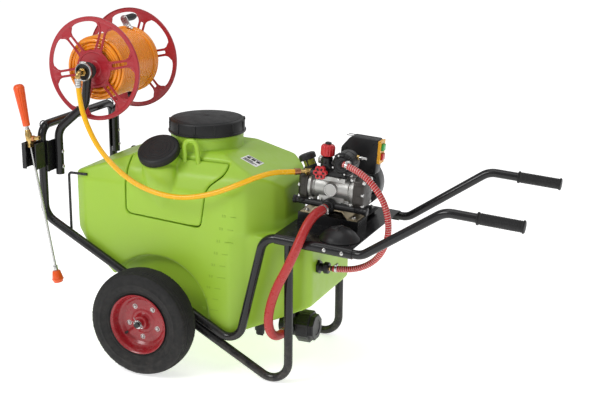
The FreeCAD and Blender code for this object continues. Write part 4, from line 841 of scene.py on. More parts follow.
def disc_with_holes(outer, holes, y0, y1):
    """Plate in the reel's plane with openings."""
    curve = bpy.data.curves.new("plate", "CURVE")
    curve.dimensions = "2D"
    curve.fill_mode = "BOTH"
    for poly in [outer] + holes:
        sp = curve.splines.new("POLY")
        sp.points.add(len(poly) - 1)
        for p, (x, z) in zip(sp.points, poly):
            p.co = (x * MM, z * MM, 0, 1)
        sp.use_cyclic_u = True
    curve.extrude = abs(y1 - y0) * MM / 2 - 0.0008
    curve.bevel_depth = 0.0008
    curve.bevel_resolution = 2
    me = mesh_of_curve(curve)
    mid = (y0 + y1) / 2 * MM
    for v in me.vertices:
        x, z, w = v.co
        v.co = REEL + Vector((x, mid + w, z))
    return me


WIDE, SLOTS = flange_outline()
for name, s in (("left", -1), ("right", 1)):
    holes = [rounded(h, 4, 3) for h in WIDE] + [rounded(h, 5, 4) for h in SLOTS]
    plate = disc_with_holes(circle(0, 0, 190.5, 160), holes, s * 142.4, s * 145.6)
    add_object("reel_flange_" + name + "_plate", clean(plate), "reel", "reel", "reel_flange_" + name, sharp=30)
    rings = Build()
    out = Y_AXIS * s
    base = REEL + out * 0.144
    rings.lathe([(176.5, 0.9), (180, 2.6), (188, 3.2), (192.4, 3.0), (194, 1.2), (194, -4.4), (193, -5.0),
                 (192, -4.2), (191.6, 0.0), (190, 1.2), (182, 1.4), (177, -1.2)], base, out, 160, closed=True)
    rings.lathe([(60, 1.0), (62, 3.6), (66, 3.8), (69, 1.2), (69, -1.2), (60, -1.2)], base, out, 120,
                closed=True)
    hub = [(17.5, -2.0), (17.5, 3.0), (30, 3.0), (33, 1.0), (36, -3.5), (54, -4.6), (58, -2.8), (61, 1.2),
           (61, -1.6), (57, -6.0), (36, -6.6), (30, -2.0)]
    rings.lathe(hub, base, out, 120, closed=True)
    for i in range(12):
        put = around(base, out, X_AXIS, Z_AXIS, math.radians(30 * i + 12))
        rings.box((32, -1.3, -5.0), (60, 1.3, 0.8), 0.6, to=put)
    for i in range(6):
        for side in (-1, 1):
            put = around(REEL, out, X_AXIS, Z_AXIS, math.radians(12 + 60 * i))
            line = [put(x, y * side, 145.2)
                    for x, y in ((72, 13.2), (100, 12.0), (130, 11.4), (150, 12.2), (163, 18.0), (175, 27))]
            rings.sweep(smooth_path(line, 4), 2.4, 10)
    rings.object("reel_flange_" + name + "_ribs", "reel", "reel", sharp=38)
    screws = Build()
    for i in range(4):
        at = reel_at(47, 30 + 90 * i + 8, s * 140.0)
        screws.lathe([(0, 0), (5.2, 0), (5.2, 1.2), (4.2, 2.9), (2.2, 3.7), (0, 3.9)], at, out, 24)
    screws.object("reel_screws_" + name, "steel", "reel", sharp=40)

# wound hose: its turns lie beside and on each other from the drum outwards
HOSE_D = 13.2
turns = []
layers = [(65.2, 19.8), (77.3, 19.8), (89.4, 19.8), (101.5, 19.8), (113.6, 19.8)]
PER_TURN, LAYER_RISE = 12, 12.1
SHRINK = 0.9662
y_edge = 131.5
deg = 82.0
across = -1
for li, (r, n) in enumerate(layers):
    count = int(n * PER_TURN)
    for k in range(count):
        f = k / count
        rr = r if k > 4 or li == 0 else r - LAYER_RISE + LAYER_RISE * (k + 1) / 5.0
        turns.append(reel_at(rr / SHRINK, deg, across * y_edge * (1 - 2 * f)))
        deg += 360.0 / PER_TURN
    across = -across
end_r = layers[-1][0]
last_y = turns[-1].y / MM
wind = 2.35
count = int(wind * PER_TURN)
toward = -1 if last_y > 0 else 1
for k in range(count):
    rr = end_r + 8.0 * min(1.0, (k + 1) / 6.0)
    turns.append(reel_at(rr / SHRINK, deg, last_y + toward * (3 + 13.6 * k / PER_TURN)))
    deg += 360.0 / PER_TURN
wound_line = spline_points(turns, 4)
coil = Build()
coil.sweep(wound_line, HOSE_D / 2, 16)
wound = coil.object("wound_hose", "wound", "reel", "reel_hose", sharp=0)
tip_dir = (turns[-1] - turns[-2]).normalized()
crimp = Build()
tip = turns[-1]
crimp.lathe([(0, -15), (6.8, -15), (7.4, -14), (7.4, -10), (7.0, -9), (7.4, -8), (7.4, -3), (7.0, -2),
             (7.2, -1), (7.2, 2), (5, 3), (0, 3)], tip, tip_dir, 40)
crimp.hexagon(tip + tip_dir * 0.003, tip + tip_dir * 0.010, 14)
crimp.lathe([(0, 9), (5.4, 9), (5.4, 11), (4.9, 12), (5.4, 13), (4.9, 14), (5.4, 15), (4.9, 16), (5.2, 17),
             (4.2, 19), (0, 19)], tip, tip_dir, 32)
crimp_ob = crimp.object("wound_hose_end_fitting", "steel", "reel", sharp=40)
round(length_of(wound_line), 3)
[tuple(p) for p in wound_line]

# bearing blocks, inlet elbow with ferrule, clamp and swivel housing, crank grip
for s in (-1, 1):
    bear = Build()
    out = Y_AXIS * s
    at = P(-307, s * 168, 1072)
    bear.lathe([(12.4, 0), (24, 0), (27, 1.5), (28, 8), (31, 11), (31, 27), (29.5, 29.5), (20, 30),
                (18, 28.6), (12.4, 28.6)], at, out, 64, closed=True)
    for k in range(5):
        bear.lathe([(30.4, 12 + 3.2 * k), (31.6, 12.8 + 3.2 * k), (31.6, 13.8 + 3.2 * k),
                    (30.4, 14.6 + 3.2 * k)], at, out, 64, closed=True)
    bear.object("reel_bearing_block_" + ("left" if s < 0 else "right"), "rubber", "chassis", "reel_bearings",
                sharp=35)
elbow = Build()
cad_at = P(-307, -200, 1072)
elbow.lathe([(0, 0), (15, 0), (15, 6), (11.5, 7), (11.5, 18), (9.0, 19), (9.0, 40), (0, 40)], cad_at, -Y_AXIS,
            40, soft=0.8)
corner = [P(-307, -232, 1072), P(-307, -243, 1072), P(-307, -249.5, 1068), P(-307, -252, 1060),
          P(-307, -252, 1050)]
elbow.sweep(smooth_path(corner, 6), 9.4, 28)
elbow.hexagon(P(-307, -212, 1072), P(-307, -224, 1072), 27)
elbow.object("inlet_elbow_brass", "brass", "chassis", "inlet_elbow", sharp=38)
ferrule = Build()
ferrule.hexagon(P(-307, -252, 1054), P(-307, -252, 1045), 24)
ferrule.lathe([(0, 0), (10.6, 0), (11.4, 1.2), (11.4, 5), (10.8, 6), (11.4, 7), (11.4, 13), (10.8, 14),
               (11.4, 15), (11.4, 22), (10.6, 24.6), (0, 24.6)], P(-307, -252, 1045.5), -Z_AXIS, 40)
ferrule.object("delivery_hose_ferrule", "steel", sharp=40)
clip = Build()
clip.lathe([(30.3, 0), (33.4, 0.6), (34, 2), (34, 9), (33.4, 10.4), (30.3, 11)], P(-307, -208, 1072), -Y_AXIS,
           72, closed=True)
clip.box((-314, -219, 1103), (-300, -208, 1111), 1.6)
clip.rod(P(-322, -213.5, 1107), P(-294, -213.5, 1107), 3.0, 16)
clip.object("swivel_ring_clamp", "steel", sharp=40)
sleeve = Build()
sleeve.lathe([(14, 0), (30.2, 0), (30.2, 20), (28.5, 22), (24.5, 22), (23.5, 14), (14, 13)],
             P(-307, -200, 1072), -Y_AXIS, 64, closed=True)
sleeve.object("swivel_housing", "cover", sharp=35)

knob = Build()
knob_at = P(-386, 215, 1209)
knob.lathe([(5.1, 0), (11.5, 0), (12.5, 1), (13.2, 6), (12.6, 12), (12.9, 30), (13.8, 52), (14, 66),
            (13.2, 74), (10.5, 79), (7.5, 80), (5.1, 80)], knob_at, Y_AXIS, 48, closed=True)
knob.object("crank_grip", "grip", "crank_handle", "crank_knob", sharp=40)

# ---- hoses ----------------------------------------------------------------------------------------
delivery_curve = open_spline("delivery_hose_yellow", DELIVERY, 10)
delivery_curve.bevel_depth = 0.019 / 2
delivery_curve.bevel_resolution = 8
delivery_curve.use_fill_caps = True
delivery_curve.materials.append(M["yellow"])
delivery = bpy.data.objects.new("delivery_hose_yellow", delivery_curve)
bpy.context.scene.collection.objects.link(delivery)
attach(delivery, "chassis")
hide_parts("delivery_hose")
tuple(DELIVERY[0])
round(length_of(spline_points(DELIVERY, 10)), 3)
s_line = resample(spline_points(SUCTION, 40), 0.0011)
suction = Build()
suction.sweep(s_line, lambda i: 16.5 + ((0.42 * math.cos(i * 2 * math.pi / 5.0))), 40)
suction_ob = suction.object("suction_hose_ribbed", "hose", "chassis", "suction_hose", sharp=0)
tuple(SUCTION[0])
round(length_of(s_line), 3)
[tuple(p) for p in s_line]
b_line = resample(spline_points(BYPASS, 30), 0.0016)
bypass = Build()
bypass.sweep(b_line, 11.3, 36)
bypass_ob = bypass.object("bypass_hose_tube", "bypass", "chassis", "bypass_hose", sharp=0)
coil_points = []
_, u, _ = frame_axes(b_line[1] - b_line[0])
turn_step = 2 * math.pi * 0.0016 / 0.0085
for i in range(2, len(b_line) - 2):
    t = (b_line[i + 1] - b_line[i - 1]).normalized()
    u = (u - t * u.dot(t)).normalized()
    v = t.cross(u)
    for k in range(2):
        a = (i + k / 2) * turn_step
        c = b_line[i].lerp(b_line[i + 1], k / 2)
        coil_points.append(c + (u * math.cos(a) + v * math.sin(a)) * 0.01115)
spiral = Build()
spiral.sweep(coil_points, 0.85, 6)
spiral_ob = spiral.object("bypass_hose_spiral", "thread", sharp=0)
tuple(BYPASS[0])
round(length_of(b_line), 3)
[tuple(p) for p in b_line]


def hose_clamp(name, line, at, r, width=9.0):
    """Worm-drive band round a hose at a distance in metres from the start of its line."""
    run = 0.0
    for a, b in zip(line, line[1:]):
        run += (b - a).length
        if run >= at:
            break
    d = (b - a).normalized()
    c = Build()
    c.lathe([(r + 0.1, -width / 2), (r + 0.9, -width / 2), (r + 1.0, 0), (r + 0.9, width / 2),
             (r + 0.1, width / 2)], a, d, 48, closed=True)
    put = around(a, *frame_axes(d), 0.0)
    c.box((r + 0.2, -7, -width / 2 - 0.6), (r + 5.4, 7, width / 2 + 0.6), 1.2, to=put)
    c.rod(put(r + 3.0, -11, 0), put(r + 3.0, 9, 0), 3.0, 16)
    c.hexagon(put(r + 3.0, -13.5, 0), put(r + 3.0, -9.5, 0), 7.5)
    return c.object(name, "steel", sharp=40)


d_line = spline_points(DELIVERY, 20)
ferrule = Build()
ferrule.lathe([(9.6, 0), (11.0, 0.5), (11.4, 2), (11.4, 15), (12.4, 17), (12.4, 22), (9.6, 22)], d_line[-1],
              d_line[-3] - d_line[-1], 48, closed=True)
ferrule.object("delivery_ferrule", "copper", sharp=40)
hose_clamp("suction_clamp_pump", s_line, 0.016, 16.8, 10)
hose_clamp("suction_clamp_filter", s_line, length_of(s_line) - 0.016, 16.8, 10)
hose_clamp("bypass_clamp_tank", b_line, 0.014, 11.6, 9)
hose_clamp("bypass_clamp_valve", b_line, length_of(b_line) - 0.014, 11.6, 9)

# ---- pump -----------------------------------------------------------------------------------------
ALONG, UP = DECK_ALONG, DECK_UP
heads, bolts = Build(), Build()
HEAD_OUTLINE = rounded([(55, 36), (33, 58), (-33, 58), (-55, 36), (-55, -36), (-33, -58), (33, -58),
                        (55, -36)], 9, 4)
HEAD_LAYERS = [(0, 1.4), (1.4, 0), (9.6, 0), (11, 1.6), (12.4, 1.6), (27, 2.6), (33, 5.4), (36.6, 10), (38, 15)]
for s0, sgn in ((43, -1), (217, 1)):
    heads.layers(HEAD_OUTLINE, HEAD_LAYERS, lambda y, h, depth: G(s0 + sgn * depth, -30 + y, 140 + h))
    out = DECK_ALONG * sgn
    at = G(s0, -30, 140)
    for y in (-26, -13, 0, 13, 26):
        heads.box((s0 + sgn * 33, -32.2 + y, 104), (s0 + sgn * 38, -27.8 + y, 176), 1.4, to=G)
    heads.lathe([(0, 30), (20, 30), (20, 36), (17, 38), (0, 38)], at, out, 48, soft=1)
    for y, h in ((38, 42), (-38, 42), (38, -42), (-38, -42), (45, 0), (-45, 0)):
        b = G(s0, -30 + y, 140 + h)
        heads.lathe([(0, 0), (9, 0), (9, 28), (8, 30), (0, 30)], b, out, 24, soft=0.8)
        bolts.lathe([(0, 30), (8.2, 30), (8.2, 31.4), (0, 31.4)], b, out, 24)
        bolts.hexagon(b + out * 0.031, b + out * 0.038, 12)
heads.object("pump_heads_cast", "head", "chassis", "pump_heads", sharp=38)
bolts.object("pump_head_bolts", "steel", sharp=40)
cast = Build()
for a, b in ((43, 55), (205, 217)):
    cast.lathe([(44.2, 0), (54, 0), (55.5, 1.5), (55.5, 10.5), (54, 12), (44.2, 12)], G(a, -30, 140), ALONG,
               96, closed=True)
for a in (64, 194):
    cast.lathe([(43.5, -2.5), (46.2, -1.6), (46.8, 0), (46.2, 1.6), (43.5, 2.5)], G(a, -30, 140), ALONG, 96,
               closed=True)
cast.lathe([(25, 0), (25, 15), (23, 17.5), (20.5, 18), (20.0, 15.5), (0, 15.5)], G(130, -64, 140), -Y_AXIS, 64)
for s_ in (62, 92, 168, 198):
    cast.box((s_ - 2.5, -72, 78), (s_ + 2.5, -28, 100), 1.6, to=G)
for s_ in (52, 208):
    for h_ in (92, 188):
        cast.rod(G(s_ - 9, -62, h_), G(s_ + 9, -62, h_), 8.0, 24)
cast.object("pump_casting_detail", "alu", sharp=35)
ring = Build()
ring.lathe([(20.5, 0), (22.6, 0), (22.6, 2.4), (20.5, 2.4)], G(130, -80.2, 140), -Y_AXIS, 64, closed=True)
for s_, h_ in ((52, 92), (208, 92), (52, 188), (208, 188), (104, 182), (156, 182)):
    ring.hexagon(G(s_, -70, h_), G(s_, -76, h_), 9)
ring.object("pump_circlip_and_bolts", "steel", sharp=40)

# painted shade: a thin black ring on the end of the boss stands for the shadow in its groove
groove = Build()
groove.lathe([(20.6, 0), (23.4, 0), (23.4, 0.5), (20.6, 0.5)], G(130, -81.9, 140), -Y_AXIS, 64, closed=True)
groove.object("pump_boss_groove_painted_shade", "dark", sharp=40)

pipe = Build()
m_y, m_h = -70, 81.5
pipe.lathe([(0, -12), (12, -12), (15, -10), (15, 0), (14, 2), (13, 3), (13, 259), (14, 260), (15, 262),
            (15, 272), (12, 274), (0, 274)], G(0, m_y, m_h), ALONG, 48)
for s_ in (24, 236):
    pipe.lathe([(0, 0), (15, 0), (16.5, 3), (16.5, 12), (0, 12)], G(s_, m_y, m_h), UP, 40, soft=1)
    pipe.rod(G(s_, m_y, m_h), G(s_, m_y + 16, m_h + 34), 11, 32)
pipe.lathe([(0, 0), (24, 0), (25.5, 2), (25.5, 14), (24.5, 15.5), (22.5, 16), (22.5, 28), (19, 30),
            (13.4, 30.5), (13.4, 34)], G(128, -66, m_h), -Y_AXIS, 64)
pipe.hexagon(G(128, -100, m_h), G(128, -112, m_h), 31)
pipe.object("suction_manifold_moulded", "cover", "chassis", "pump_manifold", sharp=38)

sight = Build()
foot = G(43, -30, 172)
lean = (G(43 - 0.42, -30, 172 + 0.9075) - foot).normalized()
sight.lathe([(0, 22), (19, 22), (20, 24), (20, 55), (21, 57), (21, 60), (19, 62), (17.2, 62), (17.2, 28),
             (0, 28)], foot, lean, 48)
sight.object("oil_sight_clear", "sight", "chassis", "oil_sight", sharp=40)
oil = Build()
oil.lathe([(0, 27), (16.9, 27), (16.9, 44), (0, 44)], foot, lean, 40)
oil.object("oil_fill", "brass", sharp=40)
sleeve = Build()
sleeve.lathe([(20.2, 22), (24, 22), (24, 34), (22.4, 37), (20.2, 37)], foot, lean, 40, closed=True)
for i in range(3):
    put = around(foot, *frame_axes(lean), 2 * math.pi * i / 3 + 0.6)
    sleeve.box((20.1, -2.4, 32), (22.8, 2.4, 57), 0.8, to=put)
sleeve.object("oil_sight_cage", "cover", sharp=40)
ocap = Build()
cap_at = foot + lean * 0.058
ocap.lathe([(20.2, 0), (28.5, 0), (30.6, 1.2), (30.6, 17), (28.6, 21), (22, 23.4), (0, 24), (0, 5),
            (20.2, 5)], cap_at, lean, 144, wobble=lambda t, j, r,
            h: 1.0 + (0.024 if (j in (2, 3) and int(t / (2 * math.pi) * 36) % 2) else 0.0))
ocap.object("oil_cap_knurled", "cover", "dipstick", "oil_cap", sharp=38)

# pressure control: drum with ribs, valve column, tap and tails
ctrl = Build()
c_at = G(172, -20, 244)
ctrl.lathe([(0, 0), (38, 0), (40, 2), (40, 26), (38.5, 27), (38.5, 31), (40, 32), (40, 62), (38.5, 66),
            (36, 70), (31, 73), (28, 73), (27, 75), (26.5, 83), (24, 86), (20, 86), (19, 84), (0, 84)], c_at,
            -Y_AXIS, 96)
for i in range(8):
    put = around(c_at, -Y_AXIS, ALONG, UP, math.radians(45 * i))
    ctrl.box((36, -4.5, 33), (42.4, 4.5, 70), 1.6, to=put)
    ctrl.rod(put(34.5, 0, 60), put(34.5, 0, 76), 5.0, 16)
ctrl.box((84, -62, 184), (176, -4, 222), 5, to=G)
ctrl.lathe([(0, 0), (22, 0), (23, 2), (23, 14), (20, 17), (20, 38), (15, 41), (12, 41), (12, 44), (0, 44)],
           G(102, -58, 214), UP, 48)
ctrl.lathe([(0, 0), (19, 0), (19, 36), (17, 40), (11, 41), (7, 44), (7, 54), (0, 54)], G(100, -50, 208),
           -Y_AXIS, 48)
ctrl.rod(G(46, -80, 196), G(100, -80, 196), 11, 32, soft=1.5)
ctrl.rod(G(172, -96, 244), G(188, -122.8, 255.2), 10, 32, soft=1.5)
ctrl.lathe([(0, 0), (15, 0), (16, 1.5), (16, 12), (14, 14), (0, 14)], G(176, -103, 247),
           G(188, -122.8, 255.2) - G(172, -96, 244), 40)
ctrl.rod(G(136, -40, 220), G(136, -40, 262), 9, 24, soft=1.5)
ctrl.object("control_unit_moulded", "cover", "chassis", "control_unit", sharp=36)
small = Build()
for i in range(4):
    t = math.radians(90 * i + 22.5)
    d = ALONG * math.cos(t) + UP * math.sin(t)
    b = c_at + d * 0.0345 - Y_AXIS * 0.076
    small.hexagon(b, b - Y_AXIS * 0.004, 7)
small.lathe([(0, 0), (8, 0), (9.5, 2), (9.5, 20), (7, 22), (0, 22)], G(60, -12, 214), UP, 32, soft=0.8)
small.lathe([(0, 0), (7.2, 0), (7.2, 4), (0, 4)], G(60, -12, 236), UP, 6)
small.lathe([(0, 0), (6, 0), (6, 12), (4.5, 14), (4.5, 26), (3, 28), (0, 28)], G(212, -30, 262), ALONG, 24,
            soft=0.5)
small.object("control_screws_and_tips", "steel", sharp=40)
tipb = Build()
tipb.hexagon(G(202, -30, 262), G(212, -30, 262), 15)
tipb.object("relief_valve_nut", "brass", sharp=40)
stem = Build()
stem.lathe([(0, 0), (5, 0), (5, 14), (0, 14)], G(102, -58, 246), UP, 24)
stem.object("regulator_screw", "steel", sharp=40)
brass = Build()
o_end = G(20, -101, 196)
o_start = G(44, -83, 196)
o_dir = (o_end - o_start).normalized()
brass.hexagon(o_start - o_dir * 0.002, o_start + o_dir * 0.011, 22)
brass.lathe([(0, 10), (8.5, 10), (8.5, 14), (7, 15), (7, 30), (0, 30)], o_start, o_dir, 32, soft=0.5)
brass.lathe([(0, 0), (11.5, 0), (11.5, 10), (0, 10)], o_start - o_dir * 0.011, o_dir, 32, soft=1)
brass.object("outlet_fitting_brass", "brass", "chassis", "outlet_fitting", sharp=40)

reg = Build()
r_at = G(102, -58, 259)
reg.lathe([(0, 0.4), (22, 0.4), (24, 1.5), (25.6, 4), (25.8, 30), (24, 36), (20, 40), (13, 41), (12, 42),
           (0, 42)], r_at, UP, 144, wobble=lambda t, j, r, h: 1.0 - (0.10 * max(0.0, math.cos(t * 12)) ** 2
                   if r > 18 and 2 < h < 40 else 0.0))
reg.object("regulator_knob_ribbed", "red", "regulator", "regulator_knob", sharp=40)
regtop = Build()
regtop.lathe([(0, 0), (11.5, 0), (12, 1), (11.5, 6), (9, 7.6), (0, 8)], r_at + UP * 0.0415, UP, 40)
regtop.object("regulator_knob_button", "cover", "regulator", sharp=40)
tap = Build()
t_at = G(100, -97, 208)
tap.lathe([(7.1, 0), (11.5, 0), (13, 2), (15, 7), (25.5, 8.5), (26, 10), (26, 21), (24.6, 23.4), (14, 24.6),
           (11, 22.4), (0, 22), (0, 7.5), (7.1, 7.5)], t_at, -Y_AXIS, 144, wobble=lambda t, j, r,
           h: 1.0 - (0.22 * (0.5 - 0.5 * math.cos(t * 6)) ** 2 if r > 20 else 0.0))
tap.object("tap_knob_star", "red", "tap", "tap_knob", sharp=40)
# painted shade: flat black patches on the knob's face stand for the shadow in its recesses
recess_shade = Build()
for i in range(6):
    put = around(t_at, *frame_axes(-Y_AXIS), math.radians(60 * i))
    recess_shade.box((9.5, -3.4, 24.0), (19, 3.4, 24.95), 0.3, to=put)
recess_shade.object("tap_knob_recess_painted_shade", "dark", "tap", sharp=40)

# ---- motor ----------------------------------------------------------------------------------------
motor = Build()
motor.lathe([(30, 0), (70, 0), (77, 2), (78.5, 4), (78.5, 11), (76, 12), (30, 12)], G(130, 60, 100), Y_AXIS,
            96, closed=True)
for i in range(4):
    t = math.radians(45 + 90 * i)
    d = ALONG * math.cos(t) + UP * math.sin(t)
    motor.lathe([(0, -3), (8.5, -3), (8.5, 12), (0, 12)], G(130, 60, 100) + d * 0.0715, Y_AXIS, 20, soft=1)
motor.object("motor_end_bell", "motor", sharp=38)
fan = Build()
fan.lathe([(94.1, -48), (94.6, -48), (95.4, -46), (95.4, -5), (93.5, -1), (89.5, 0.6), (84, 0.9), (84, 0.2),
           (92, -0.4), (94.1, -4)], G(130, 248, 100), Y_AXIS, 128, closed=True)
for r in (32, 44, 56, 68):
    fan.lathe([(r - 1.2, 0.1), (r + 1.2, 0.1), (r + 0.8, 1.4), (r - 0.8, 1.4)], G(130, 248, 100), Y_AXIS, 96,
              closed=True)
fan.object("fan_cover_rings", "fan", sharp=38)
box = Build()
outline = [(100, 176), (240, 176), (240, 305), (134, 305), (100, 261)]
depths = [(80.0, 3.4), (80.6, 1.4), (82.6, 0.0), (132.4, 0.0), (134.4, 1.4), (135.0, 3.4)]
box.layers(rounded(outline, 9, 4), depths, lambda a, b, y: G(a, y, b))
for y in (96.0, 119.0):
    box.box((112, y, 303.4), (226, y + 1.4, 305.8), 0.5, to=G)
for s_ in (122, 226):
    box.rod(G(s_, 78.6, 190), G(s_, 82, 190), 4.6, 20)
    box.rod(G(s_, 78.6, 290 if s_ > 200 else 262), G(s_, 82, 290 if s_ > 200 else 262), 4.6, 20)
box.object("switch_box_rounded", "cover", "chassis", "switch_box", sharp=36)
plate = Build()
plate.box((247, 82, 216), (250.6, 133, 220), 1.2, to=G)
plate.box((247, 82, 299), (250.6, 133, 303), 1.2, to=G)
plate.box((247, 82, 216), (250.6, 86, 303), 1.2, to=G)
plate.box((247, 129, 216), (250.6, 133, 303), 1.2, to=G)
plate.object("switch_plate_rim", "amber", sharp=38)
for name, h_, mat, body in (("start", 277, "green", "start_button"), ("stop", 242, "red", "stop_button")):
    key = Build()
    key.box((247.5, 94.9, h_ - 12.1), (258.5, 120.1, h_ + 12.1), 2.2, to=G)
    key.object(name + "_button_cap", mat, body, "button_green" if mat == "green" else "button_red", sharp=40)
studs = Build()
for s_, y in ((55, 95), (205, 95), (55, 175), (205, 175)):
    studs.lathe([(0, 0), (11, 0), (11, 1.6), (0, 1.6)], G(s_, y, 20), UP, 32)
    studs.hexagon(G(s_, y, 21), G(s_, y, 28), 13)
    studs.lathe([(0, 0), (4, 0), (4, 4), (0, 4)], G(s_, y, 27), UP, 16)
for s_, y in ((40, -62), (220, -62), (40, 2), (220, 2)):
    studs.lathe([(0, 0), (10, 0), (10, 1.5), (0, 1.5)], G(s_, y, 45), UP, 32)
    studs.hexagon(G(s_, y, 46), G(s_, y, 52.5), 12)
studs.object("pump_and_motor_nuts", "steel", sharp=40)

dome = Build()
c_at = G(214, -178, 3)
dome.lathe([(0, 44.4), (20, 41.9), (40, 33.8), (56, 21.9), (66, 10.3), (70, 4.4), (72.5, 2.4), (72.5, 0.2),
            (68, 0.2), (60, 12.6), (44, 27), (22, 37.4), (0, 40.4)][::-1], c_at, UP, 96)
ridge = [(-61, 9), (-53, 22), (-38, 36), (-19, 45.5), (0, 48.6), (19, 45), (38, 35), (53, 21), (61, 8)]
for (a, h0), (b, h1) in zip(ridge, ridge[1:]):
    v = [G(214 + q * w, -178 + y, 3 + z) for y, top in ((a, h0), (b, h1)) for q, w,
         z in ((-1, 4.2, 2), (-1, 2.6, top), (1, 2.6, top), (1, 4.2, 2))]
    dome.add(v, [(0, 1, 5, 4), (1, 2, 6, 5), (2, 3, 7, 6)])
dome.object("deck_cap_dome", "cover", "chassis", "deck_cap", sharp=34)

# ---- grips ----------------------------------------------------------------------------------------
for name, s in (("left", -1), ("right", 1)):
    end = P(1360, s * 285, 710)
    d = (end - P(1098, s * 285, 727)).normalized()
    grip = Build()
    prof = [(16.2, -150), (20.5, -153.6), (22.3, -152.5), (22.5, -149), (21.8, -147.4), (19.6, -146.6),
            (19.2, -144)]
    for k in range(26):
        h = -140 + k * 5.2
        prof += [(19.0, h), (19.9, h + 1.0), (20.0, h + 2.4), (19.0, h + 3.4)]
    prof += [(19.4, -3.6), (21.6, -2.6), (22.5, -1.2), (22.5, 1.8), (20.5, 4.2), (14, 5.0), (0, 5.0)]
    grip.lathe(prof, end, d, 72)
    grip.object("hand_grip_" + name, "grip", "chassis", "grips", sharp=50)

# ---- lance ----------------------------------------------------------------------------------------
FOOT = P(-401, -300, 272)
LDIR = Vector((-0.176, 0, 0.984)).normalized()


def L(d):
    return FOOT + LDIR * (d * MM)


nozzle = Build()
nozzle.lathe([(0, 5), (6, 5), (7.4, 1), (15.5, 0), (17, 1), (21.6, 12), (22, 14), (21.6, 16), (20.2, 17),
              (20.2, 19), (20.4, 20), (15.4, 44), (14, 46), (5.5, 46), (5.5, 30)], FOOT, LDIR, 144,
              wobble=lambda t, j, r, h: 1.0 + (0.03 if (j in (6, 7) and math.cos(t * 18) > 0) else 0.0))
nozzle.object("spray_nozzle_cap", "orange", "lance_tip", "lance_nozzle", sharp=38)
pipe = Build()
pipe.lathe([(0, 20), (5.4, 20), (5.4, 545), (0, 545)], FOOT, LDIR, 32)
pipe.lathe([(5.4, 46.5), (8.4, 46.5), (9, 48), (9, 56), (7.6, 57), (7.6, 59), (9, 60), (9, 64), (8.2, 66),
            (5.4, 66.5)], FOOT, LDIR, 40)
pipe.lathe([(5.4, 590), (8, 590), (8, 598), (6.8, 599), (6.8, 620), (5.4, 620)], FOOT, LDIR, 32)
pipe.object("lance_pipe_steel", "steel", "lance", "lance_tube", sharp=38)
body = Build()
body.hexagon(L(526), L(542), 25)
body.lathe([(0, 540), (11.5, 540), (13, 542), (13, 560), (12, 561), (12, 563), (13, 564), (13, 578),
            (10.5, 582), (10.5, 590), (9, 592), (0, 592)], FOOT, LDIR, 40)
a = L(556)
side_dir = Vector((45, 0, 9)).normalized()
body.lathe([(0, 4), (8.6, 4), (8.6, 16), (0, 16)], a, side_dir, 32)
body.lathe([(0, 25), (8, 25), (8, 44.8), (7, 45.8), (5, 45.8), (5, 32), (0, 32)], a, side_dir, 32)
body.object("lance_valve_body", "brass", "lance", "lance_tube", sharp=38)
nut = Build()
nut.hexagon(a + side_dir * 0.0153, a + side_dir * 0.0255, 21)
nut.object("lance_inlet_nut", "copper", "lance", "lance_tube", sharp=38)
handle = Build()
prof = [(8.3, 606), (12.5, 606), (13.6, 608), (13.8, 622), (14.2, 628)]
for k in range(12):
    h = 632 + k * 9.6
    r = 14.2 + 6.4 * (h - 632) / 115.2
    prof += [(r, h), (r + 0.5, h + 7.6)]
prof += [(21.0, 747), (20.6, 750), (17.5, 757), (13, 761), (8, 762.5), (0, 762.5)]
handle.lathe(prof, FOOT, LDIR, 192, wobble=lambda t, j, r, h: 1.0 - (0.10 * max(0.0, math.cos(t * 12)) ** 3
        if 630 < h < 746 else 0.0))
handle.object("lance_handle_fluted", "orange", "lance_grip", "lance_handle", sharp=45)

# ---- filter, drain and return ----------------------------------------------------------------------
filt = Build()
f_at = P(425, -70, 160)
filt.lathe([(0, 0), (30, 0), (39, 3), (42, 8), (42, 62), (44, 64), (44, 75), (38, 75)], f_at, X_AXIS, 96)
for i in range(8):
    put = around(f_at, X_AXIS, Y_AXIS, Z_AXIS, math.radians(45 * i))
    filt.box((38, -1.6, 8), (44, 1.6, 64), 0.8, to=put)
filt.lathe([(0, 0), (16, 0), (16, 78), (0, 78)], P(475, -70, 172), Z_AXIS, 40, soft=1)
filt.hexagon(P(475, -70, 188), P(475, -70, 213), 46)
filt.lathe([(0, 0), (24, 0), (24, 5), (0, 5)], P(475, -70, 213), Z_AXIS, 48, soft=1)
filt.lathe([(0, 0), (22, 0), (22, 14), (16, 17), (14, 17), (14, 52), (0, 52)], P(475, -106, 160), -Y_AXIS, 48,
           soft=1)
filt.object("strainer_body", "cover", "chassis", "filter_body", sharp=38)
fcap = Build()
fcap.lathe([(46, 1), (58, 1), (60, 3), (60, 48), (58, 50.4), (51, 51.6), (50, 54), (50, 65), (47, 68.2),
            (30, 68.2), (28, 66), (0, 66), (0, 60), (46, 60)], P(500, -70, 160), X_AXIS, 8,
            start=math.radians(22.5))
for i in range(8):
    put = around(P(500, -70, 160), X_AXIS, Y_AXIS, Z_AXIS, math.radians(45 * i))
    fcap.box((52, -13, 6), (56.4, 13, 44), 1.2, to=put)
fcap.object("strainer_cap_octagonal", "cover", "strainer", "filter_cap", sharp=30)
ret = Build()
r_at = P(592, -130, 420)
ret.hexagon(r_at + X_AXIS * 0.0005, r_at + X_AXIS * 0.010, 44)
ret.lathe([(0, 9), (15, 9)] + [(15 - (0.8 if k % 2 else 0.0), 10 + k * 1.1) for k in range(14)] + [(15, 26),
        (0, 26)], r_at, X_AXIS, 48)
ret.lathe([(0, 25), (18.5, 25), (20.5, 27), (20.5, 42), (18, 44.4), (10, 44.4), (9, 46), (9, 57.5),
           (0, 57.5)], r_at, X_AXIS, 96, wobble=lambda t, j, r,
           h: 1.0 + (0.03 if (r > 19 and math.cos(t * 16) > 0) else 0.0))
ret.object("return_fitting_moulded", "cover", "chassis", "return_fitting", sharp=38)
drain = Build()
